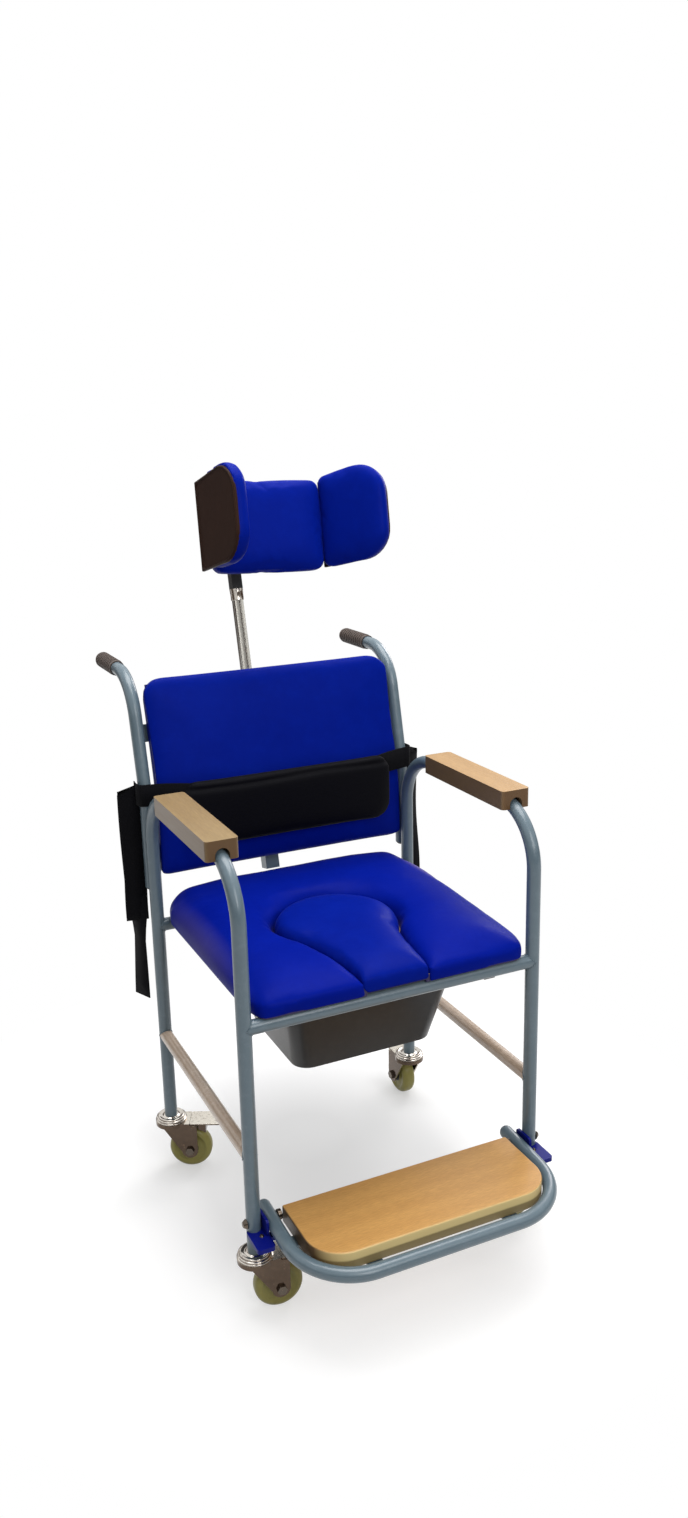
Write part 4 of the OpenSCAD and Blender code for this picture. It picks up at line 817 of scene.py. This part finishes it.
seat = {"halfWidth": 226, "front": -17.5, "back": 430, "frontRound": 20, "rearRound": 38, "keyX": -3,
        "keyY": 185, "keyR": 99, "neck": [(130, 80), (66, 66), (0, 58), (-17, 56)], "join": 6, "gap": 1.4,
        "bow": 4.5, "wider": 0.13, "widerFrom": 20, "widerRun": 90, "step": 4.0}
belly = {"out": 8, "from": 200, "middle": 200, "half": 196, "flatness": 10}
lip = {"height": 12.0, "fall": 6.0, "half": 70, "reach": 118, "neckSide": 16, "front": -18, "run": 60}
rearRoll = {"tight": 44, "from": 380, "run": 40}
hem = {"drop": 11.5, "behind": 8, "run": 4, "top": 497, "depth": 12}
seatTop = {"low": 488, "blend": 30, "length": 420, "arch": 4.0, "rise": 14.0, "sink": 4.0, "corner": 9,
           "cornerX": (120, 104), "cornerY": (300, 126), "uneven": 1.2, "grain": 0.012, "layer": 3.0}


def frontBow(x):
    # the front edge is bowed, further forward in the middle
    return seat["front"] + seat["bow"] * (abs(x) / seat["halfWidth"]) ** 2


def keyLine(inset):
    # the keyhole from its right front edge round to its left front edge
    x0, r = seat["keyX"], seat["keyR"] - inset
    right = [(x0 + half - inset, y) for y, half in reversed(seat["neck"])]
    neckY, neckHalf = seat["neck"][0]
    start = math.degrees(math.atan2(neckY + seat["join"] - seat["keyY"], neckHalf - inset))
    key = right + arc((x0, seat["keyY"]), r, start, 180 - 2 * start, count=44)
    key += [(2 * x0 - x, y) for x, y in reversed(right)]
    # wider on the left, behind its neck
    wider = [x0 + (x - x0) * (1 + seat["wider"] * unit((y - seat["widerFrom"]) / seat["widerRun"])) if x < x0
             else x for x, y in key]
    return [(x, max(y, frontBow(x))) for x, (_, y) in zip(wider, key)]


def sideSwell(x, y):
    # the sides swell outwards between the legs
    if abs(x) <= belly["from"]:
        return 0
    along = (y - belly["middle"]) / belly["half"]
    return math.copysign(belly["out"] * max(0.0, 1 - along ** belly["flatness"]), x)


def seatOutline():
    hw, r0, r1 = seat["halfWidth"], seat["frontRound"], seat["rearRound"]
    key = keyLine(-seat["gap"] / 2)
    parts = 12  # stretches of the front edge on each side
    left = [key[-1][0] + (-hw + r0 - key[-1][0]) * k / parts for k in range(1, parts + 1)]
    right = [hw - r0 + (key[0][0] - hw + r0) * k / parts for k in range(parts)]
    half = arc((-hw + r0, frontBow(hw) + r0), r0, 270, -90) + arc((-hw + r1, seat["back"] - r1), r1, 180, -90)
    loop = fill(key + [(x, frontBow(x)) for x in left] + half + [(-x, y) for x, y in reversed(half)]
                + [(x, frontBow(x)) for x in right], seat["step"])
    return [(x + sideSwell(x, y), y) for x, y in loop]


def keyRise(u, v):
    # the edges along the keyhole stand higher than the seat's outer edge
    away = u - seat["keyX"]
    inNeck = v <= seat["neck"][0][0]
    reach = abs(away) + lip["neckSide"] if inNeck else math.dist((u, v), (seat["keyX"], seat["keyY"]))
    height = lip["height"] - lip["fall"] * unit((away + lip["half"]) / (2 * lip["half"]))
    return height * unit((v - lip["front"]) / lip["run"]) if reach < lip["reach"] else 0.0


def rearTight(u, v):
    # a tighter roll along the rear edge
    return rearRoll["tight"] * unit((v - rearRoll["from"]) / rearRoll["run"])


def frontLip(u, v, w):
    # the infill's cover folds down over the boards' front edge
    u, v, w = shapeSeat(u, v, w)
    ahead = unit((-v - hem["behind"]) / hem["run"])
    return u, v, w - hem["drop"] * ahead * unit((hem["top"] - w) / hem["depth"])


def shapeSeat(u, v, w):
    # the top rises towards the rear and falls away at the rear corners
    share = unit((w - seatTop["low"]) / seatTop["blend"])
    run = unit(v / seatTop["length"])
    (x0, wide), (y0, deep) = seatTop["cornerX"], seatTop["cornerY"]
    corner = max(0.0, abs(u) - x0) / wide * max(0.0, v - y0) / deep
    w += share * (seatTop["arch"] * math.sin(math.pi * run) + seatTop["rise"] * run - seatTop["sink"]
                  - seatTop["corner"] * corner)
    spot = Vector((u * seatTop["grain"], v * seatTop["grain"], seatTop["layer"]))
    return u, v, w + share * seatTop["uneven"] * noise.noise(spot)


seatPlan = {"low": 472.3, "edge": 499, "crown": 517, "reach": 80, "power": 2.0, "bulge": 1.6, "pull": 0.6,
            "voxel": 5.0, "cap": 4.0, "rounds": 14, "fill": 0.8, "raised": keyRise, "tight": rearTight,
            "hold": 0.45}
infillPlan = {"low": 484.3, "edge": 499, "crown": 517, "reach": 62, "power": 2.0, "bulge": 1.0, "voxel": 4.5,
              "cap": 3.5, "rounds": 12, "fill": 0.8, "raised": keyRise}
cushion("seatPad", seatOutline(), seatPlan, at, "blue_vinyl", "seat", ("seat_cushion",), tune=shapeSeat,
        material=seatVinyl)
cushion("infillPad", fill(keyLine(seat["gap"] / 2), seat["step"]), infillPlan, at, "blue_vinyl", "infill",
        ("infill_cushion",), tune=frontLip)

# back

back = {"halfWidth": 225, "low": -140, "high": 199, "radii": (33, 33, 8, 8), "ease": 45.0}
backPlan = {"low": -10.9, "edge": 13, "crown": 24.5, "reach": 130, "power": 2.4, "bulge": 1.0, "pull": 0.5,
            "voxel": 5.0, "cap": 3.0, "rounds": 6, "fill": 0.8, "hold": 0.5}


def onBack(u, v, w):
    # w forward of the uprights' centre line; eased at the bend
    soft = back["ease"]
    t = unit((v + soft) / (2 * soft))
    a = lean * t
    if v >= soft:
        y, z = v * math.sin(lean), v * math.cos(lean)
    else:
        y = soft * math.sin(lean) * t * t
        z = v * (1 - t) + v * math.cos(lean) * t if v > 0 else v
    return at(u, upright["y"] + y - w * math.cos(a), upright["z"] + z + w * math.sin(a))


sideLean = {"front": 10, "blend": 4, "from": 150, "run": 70, "out": 9, "lower": 6, "high": 90, "drop": 120,
            "most": 227.5, "spare": 8}


def overTubes(u, v, w):
    # in front of the uprights the pad's sides lean out over them, most of all at the lower right
    front = unit((w - sideLean["front"]) / sideLean["blend"])
    more = sideLean["lower"] * unit((sideLean["high"] - v) / sideLean["drop"]) if u > 0 else 0
    edge = unit((abs(u) - sideLean["from"]) / sideLean["run"]) * (sideLean["out"] + more)
    return math.copysign(min(abs(u), sideLean["most"] + sideLean["spare"] * front) + edge * front, u), v, w


backEdge = roundOutline(back["halfWidth"], (back["high"] - back["low"]) / 2, back["radii"], 4.0,
                        (0, (back["high"] + back["low"]) / 2))
cushion("backPad", backEdge, backPlan, onBack, "blue_vinyl", "frame", ("back_cushion",), tune=overTubes)

# headrest

head = {"y": 433.5, "z": 1117.5, "tilt": math.radians(12.5), "roll": math.radians(1.9), "hingeX": 104,
        "hingeY": 22, "face": 25, "pad": (98, 75), "corner": 16, "step": 3.0}


def headTurn(x, y, z):
    t, r = head["tilt"], head["roll"]
    x, z = x * math.cos(r) + z * math.sin(r), -x * math.sin(r) + z * math.cos(r)
    return Vector((x, y * math.cos(t) + z * math.sin(t), -y * math.sin(t) + z * math.cos(t)))


def onHead(x, y, z):
    p = headTurn(x, y, z)
    return at(p.x, head["y"] + p.y, head["z"] + p.z)


def headFace(u, v, w):
    return onHead(u, head["face"] - w, v)


def wingPlace(side, turn):
    # u forward along the wing, v up, w inward from the board
    a = math.radians(turn)

    def place(u, v, w):
        x, y = 5 - w, -u
        return onHead(side * (head["hingeX"] + x * math.cos(a) - y * math.sin(a)),
                      head["hingeY"] + x * math.sin(a) + y * math.cos(a), v)
    return place


wing = {"low": (71, -16, 50), "high": (75, 40, 46), "rear": (-5, -70, 75), "corner": 8}


def wingOutline(start, out, rise=0):
    # the wing's edge from its lower rear corner round its front, grown outwards by out
    u0, v0, v1 = wing["rear"]
    lowV = v0 + (start - u0) / (wing["low"][0] - u0) * (wing["low"][1] - wing["low"][2] - v0) - out
    highV = v1 + (start - u0) / (wing["high"][0] - u0) * (wing["high"][1] + wing["high"][2] - v1) + out + rise
    r = wing["corner"]
    points = arc((start - out + r, lowV + r), r, 180, 90, 4)
    points += arc(wing["low"][:2], wing["low"][2] + out, 270, 90, 12)
    points += arc((wing["high"][0], wing["high"][1] + rise), wing["high"][2] + out, 0, 90, 12)
    return points + arc((start - out + r, highV - r), r, 90, 90, 4)


headPlan = {"low": -9.6, "edge": 19, "crown": 26, "reach": 44, "power": 2.2, "bulge": 1.2, "voxel": 3.5,
            "cap": 2.5, "rounds": 6, "fill": 0.85, "hold": 0.4}
cushion("headPad", roundOutline(*head["pad"], (head["corner"],) * 4, head["step"]), headPlan, headFace,
        "blue_vinyl", "headrest", ("head_pad",))
wingPlan = {"low": -5.0, "edge": 17, "crown": 24.5, "reach": 36, "power": 2.0, "bulge": 1.0, "voxel": 3.5,
            "cap": 2.5, "rounds": 7, "fill": 0.85, "hold": 0.35}
# where each trim starts, how far outside the board's edge it runs, and how deep behind the pad
wingTrim = {"rim": (-1, -2.2, -5.9), "stitches": (2, -5.5, -6.1)}
for side, name, turn, start in ((-1, "left", -10.5, 30), (1, "right", 41, 4)):
    place = wingPlace(side, turn)
    body = name + "_wing"
    cushion(name + "WingPad", fill(wingOutline(start, out=0.9, rise=3.5), head["step"]), wingPlan, place,
            "blue_vinyl", body, (body + "_pad",))
    rim, stitches = ([place(u, v, w) for u, v in fill(wingOutline(first, out), 4.0)]
                     for first, out, w in wingTrim.values())
    piping(name + "WingPiping", [rim], 1.3, "brown_vinyl", body)
    beadRow(name + "WingStitches", [stitches],
            {"spacing": 3.6, "length": 2.6, "thick": 0.7, "jitter": 0.1, "seed": 5}, "brown_vinyl", body)
plate = {"x": (-72, -45, 45, 72), "y": 38.1, "z": (-11, 11), "radius": 3.2, "height": 2.0}
plateSpots = [(onHead(x, plate["y"], z), headTurn(0, 1, 0)) for x in plate["x"] for z in plate["z"]]
heads("plateScrews", plateSpots, plate, "chrome", "headrest")
print("headrest made")

# belt

belt = {"z": 650, "back": 407, "halfWidth": 194, "halfHeight": 59, "shift": 4, "hem": 46,
        "hemWave": 1.5, "hemTurns": 0.021}


def onBelt(u, v, w):
    return at(u + belt["shift"], belt["back"] - w, belt["z"] + v)


def hemGap(u, v):
    return abs(v - belt["hem"] - belt["hemWave"] * math.sin(u * belt["hemTurns"]))


beltPlan = {"low": 0.3, "edge": 15, "crown": 20.5, "reach": 30, "power": 2.0, "bulge": 0.8, "voxel": 4.0,
            "cap": 2.0, "pressure": 2.5, "rounds": 5, "fill": 0.6}
cushion("beltPad", roundOutline(belt["halfWidth"], belt["halfHeight"], (30, 30, 34, 34), 4.0), beltPlan, onBelt,
        "belt_foam", "frame", ("belt_pad",), seams=(groove(hemGap, width=7.0, deep=5.0, above=8.0),))

web = {"width": 38, "thick": 1.8, "turn": 21, "x": 264.5, "y": 440, "top": 708, "stitch": 0.0165,
       "stitchOff": (0.0002, -0.0011), "stitched": (2, 26),
       "wrap": ((172, 398, 688), (205, 409, 690), (236, 418.5, 690), (250, 421.5, 690), (254.5, 428, 690),
                (254.8, 440, 690), (253.6, 452, 690))}
# a hanging layer: each wave is its size (metres, then degrees) and how often it comes on the way down
hung = {"steps": 18, "aside": (0.0015, 7), "behind": (0.002, 5), "turn": (14, 4), "twistFrom": 0.48,
        "twistRun": 0.22}


def hang(side, low, off, sway, twist):
    # one hanging layer beside an upright, slightly waved and turned on its way down
    mid = at(side * web["x"], web["y"] + off, web["top"])
    points, sides = [], []
    for k in range(hung["steps"] + 1):
        t = k / hung["steps"]
        aside, behind, turn = (much * math.sin(t * often + sway)
                               for much, often in (hung["aside"], hung["behind"], hung["turn"]))
        points.append(mid + Vector((side * aside, behind * t, -(web["top"] - low) * 0.001 * t)))
        angle = web["turn"] + turn * t + twist * unit((t - hung["twistFrom"]) / hung["twistRun"])
        sides.append(turned(angle if side > 0 else 180 - angle))
    return points, sides


strapOf = {-1: ("left_strap",), 1: ("right_strap",)}
layers = (("leftStrapLong", -1, 322, 9, 0.4, 58), ("leftStrapShort", -1, 464, 5, 1.6, 0),
          ("rightStrapEnd", 1, 452, 5, 0.9, 0))
for name, side, *fall in layers:
    points, sides = hang(side, *fall)
    ribbon(name, points, sides, {**web, "slant": 11}, "webbing", "frame", strapOf[side])
for name, side in (("leftStrapWrap", -1), ("rightStrapWrap", 1)):
    wrap = bent([at(side * x, y, z) for x, y, z in web["wrap"]])
    ribbon(name, wrap, [Vector((0, 0, 1))] * len(wrap), web, "webbing", "frame", strapOf[side])
    out, front = web["stitchOff"]
    edge = [[wrap[k] + Vector((side * out, front, dz)) for k in range(*web["stitched"])]
            for dz in (-web["stitch"], web["stitch"])]
    beadRow(name + "Stitches", edge, {"spacing": 3.4, "length": 2.4, "thick": 0.7, "jitter": 0.1}, "webbing",
            "frame", closed=False)
print("belt made")

# camera, floor and light

view = {"yaw": -24.887, "pitch": 15.395, "roll": -1.363, "lens": 28.38, "spot": (-742.24, -1436.93, 1266.64)}
yaw, pitch, roll = (math.radians(view[k]) for k in ("yaw", "pitch", "roll"))
ahead = Vector((-math.sin(yaw) * math.cos(pitch), math.cos(yaw) * math.cos(pitch), -math.sin(pitch)))
right = Vector((math.cos(yaw), math.sin(yaw), 0))
above = right.cross(ahead)
across = right * math.cos(roll) + above * math.sin(roll)
upward = -right * math.sin(roll) + above * math.cos(roll)
lens = bpy.data.cameras.new("camera")
lens.sensor_fit, lens.sensor_height, lens.lens = "VERTICAL", 36.0, view["lens"]
lens.clip_start, lens.clip_end = 0.05, 60
camera = added("camera", lens)
axes = Matrix((across, upward, -ahead)).transposed().to_4x4()
camera.matrix_world = Matrix.Translation(at(*view["spot"])) @ axes
scene.camera = camera

# under, poolStart and poolRise paint a shadow on the floor under the chair
studio = {"floor": 0.62, "under": 0.3, "bounce": 0.5, "lift": 0.45, "middle": (0, -0.13, 0), "poolStart": 0.08,
          "poolRise": 3.6, "fadeStart": 0.36, "fadeEnd": 0.78, "world": 0.4, "top": 82, "front": 34, "rim": 26,
          "flagLow": 0.02}


def seenRays(f):
    # 1 for rays that end in the picture: seen directly, in a gloss or through something clear
    labels = ("Is Camera Ray", "Is Glossy Ray", "Is Transmission Ray")
    eye, gloss, clear = (f.make("ShaderNodeLightPath", out=label) for label in labels)
    return (eye + gloss + clear).unit()


bm = bmesh.new()
bmesh.ops.create_grid(bm, x_segments=4, y_segments=4, size=14)
floor = added("floor", fromBmesh(bm, "floor"))
material, f = newFinish("paleFloor")
spot = span(f, placed(f, shift=studio["middle"]))
away = ((spot - studio["fadeStart"]) * (1 / (studio["fadeEnd"] - studio["fadeStart"]))).unit()
seen = seenRays(f)
# painted shadow: the floor is darker (under) near the middle and pales out to the floor tone
pool = ((spot - studio["poolStart"]) * studio["poolRise"]).unit()
shown = pool.blend(grey(studio["under"]), grey(studio["floor"]))
lit = f.make("ShaderNodeBsdfDiffuse", {}, {"Color": seen.blend(grey(studio["bounce"]), shown)})
lift = f.make("ShaderNodeEmission", {}, {"Color": grey(1), "Strength": seen * studio["lift"]})
near = f.make("ShaderNodeAddShader", {}, {0: lit, 1: lift})
far = f.make("ShaderNodeEmission", {}, {"Color": grey(1), "Strength": 1.0})
show(f, f.make("ShaderNodeMixShader", {}, {0: away * seen, 1: near, 2: far}))
floor.data.materials.append(material)

world = bpy.data.worlds.new("studio")
scene.world = world
world.use_nodes = True
world.node_tree.nodes.clear()
f = Flow(world.node_tree)
seen = seenRays(f)
strength = seen + (1.0 - seen) * studio["world"]
backdrop = f.make("ShaderNodeBackground", {}, {"Color": grey(1), "Strength": strength})
f.make("ShaderNodeOutputWorld", {}, {"Surface": backdrop})


def flag(name, start, end, top, tone):
    # a dark cloth standing between two points, seen only in reflections
    mesh = bpy.data.meshes.new(name)
    low = studio["flagLow"]
    mesh.from_pydata([(*start, low), (*end, low), (*end, top), (*start, top)], [], [(0, 1, 2, 3)])
    thing = added(name, mesh)
    material, f = newFinish(name + "Cloth")
    folds = cloud(f, placed(f), 0.8)
    glow = f.make("ShaderNodeEmission", {}, {"Color": folds.blend(tone, dim(tone, 1.6)), "Strength": 1.0})
    show(f, glow)
    mesh.materials.append(material)
    thing.visible_camera = thing.visible_diffuse = thing.visible_shadow = thing.visible_transmission = False


brown = color(0.075, 0.05, 0.036)
flag("frontFlag", (-5, -4.5), (4, -4.5), 1.9, brown)
flag("leftFlag", (-4, -4.0), (-4, 2.5), 1.7, brown)
flag("rightFlag", (4, -4.0), (4, 2.5), 1.5, brown)
flag("rearFlag", (-4, 4.2), (4, 4.2), 2.0, color(0.11, 0.09, 0.085))


def lamp(name, spot, aim, size, power, tint=(1, 1, 1)):
    data = bpy.data.lights.new(name, "AREA")
    data.shape, data.size, data.energy, data.color = "SQUARE", size, power, tint
    thing = added(name, data)
    direction = (Vector(aim) - Vector(spot)).normalized()
    thing.matrix_world = Matrix.Translation(spot) @ direction.to_track_quat("-Z", "Y").to_matrix().to_4x4()


lamp("topLamp", (0.3, 0.2, 3.0), (0, 0, 0.5), 2.2, studio["top"])
lamp("frontLamp", (0.3, -2.9, 2.3), (0, 0, 0.6), 1.6, studio["front"])
lamp("rimLamp", (2.4, 1.6, 1.9), (0, 0, 0.6), 1.2, studio["rim"], (1.0, 0.95, 0.97))
scene.view_settings.view_transform = "Standard"
print("studio ready")
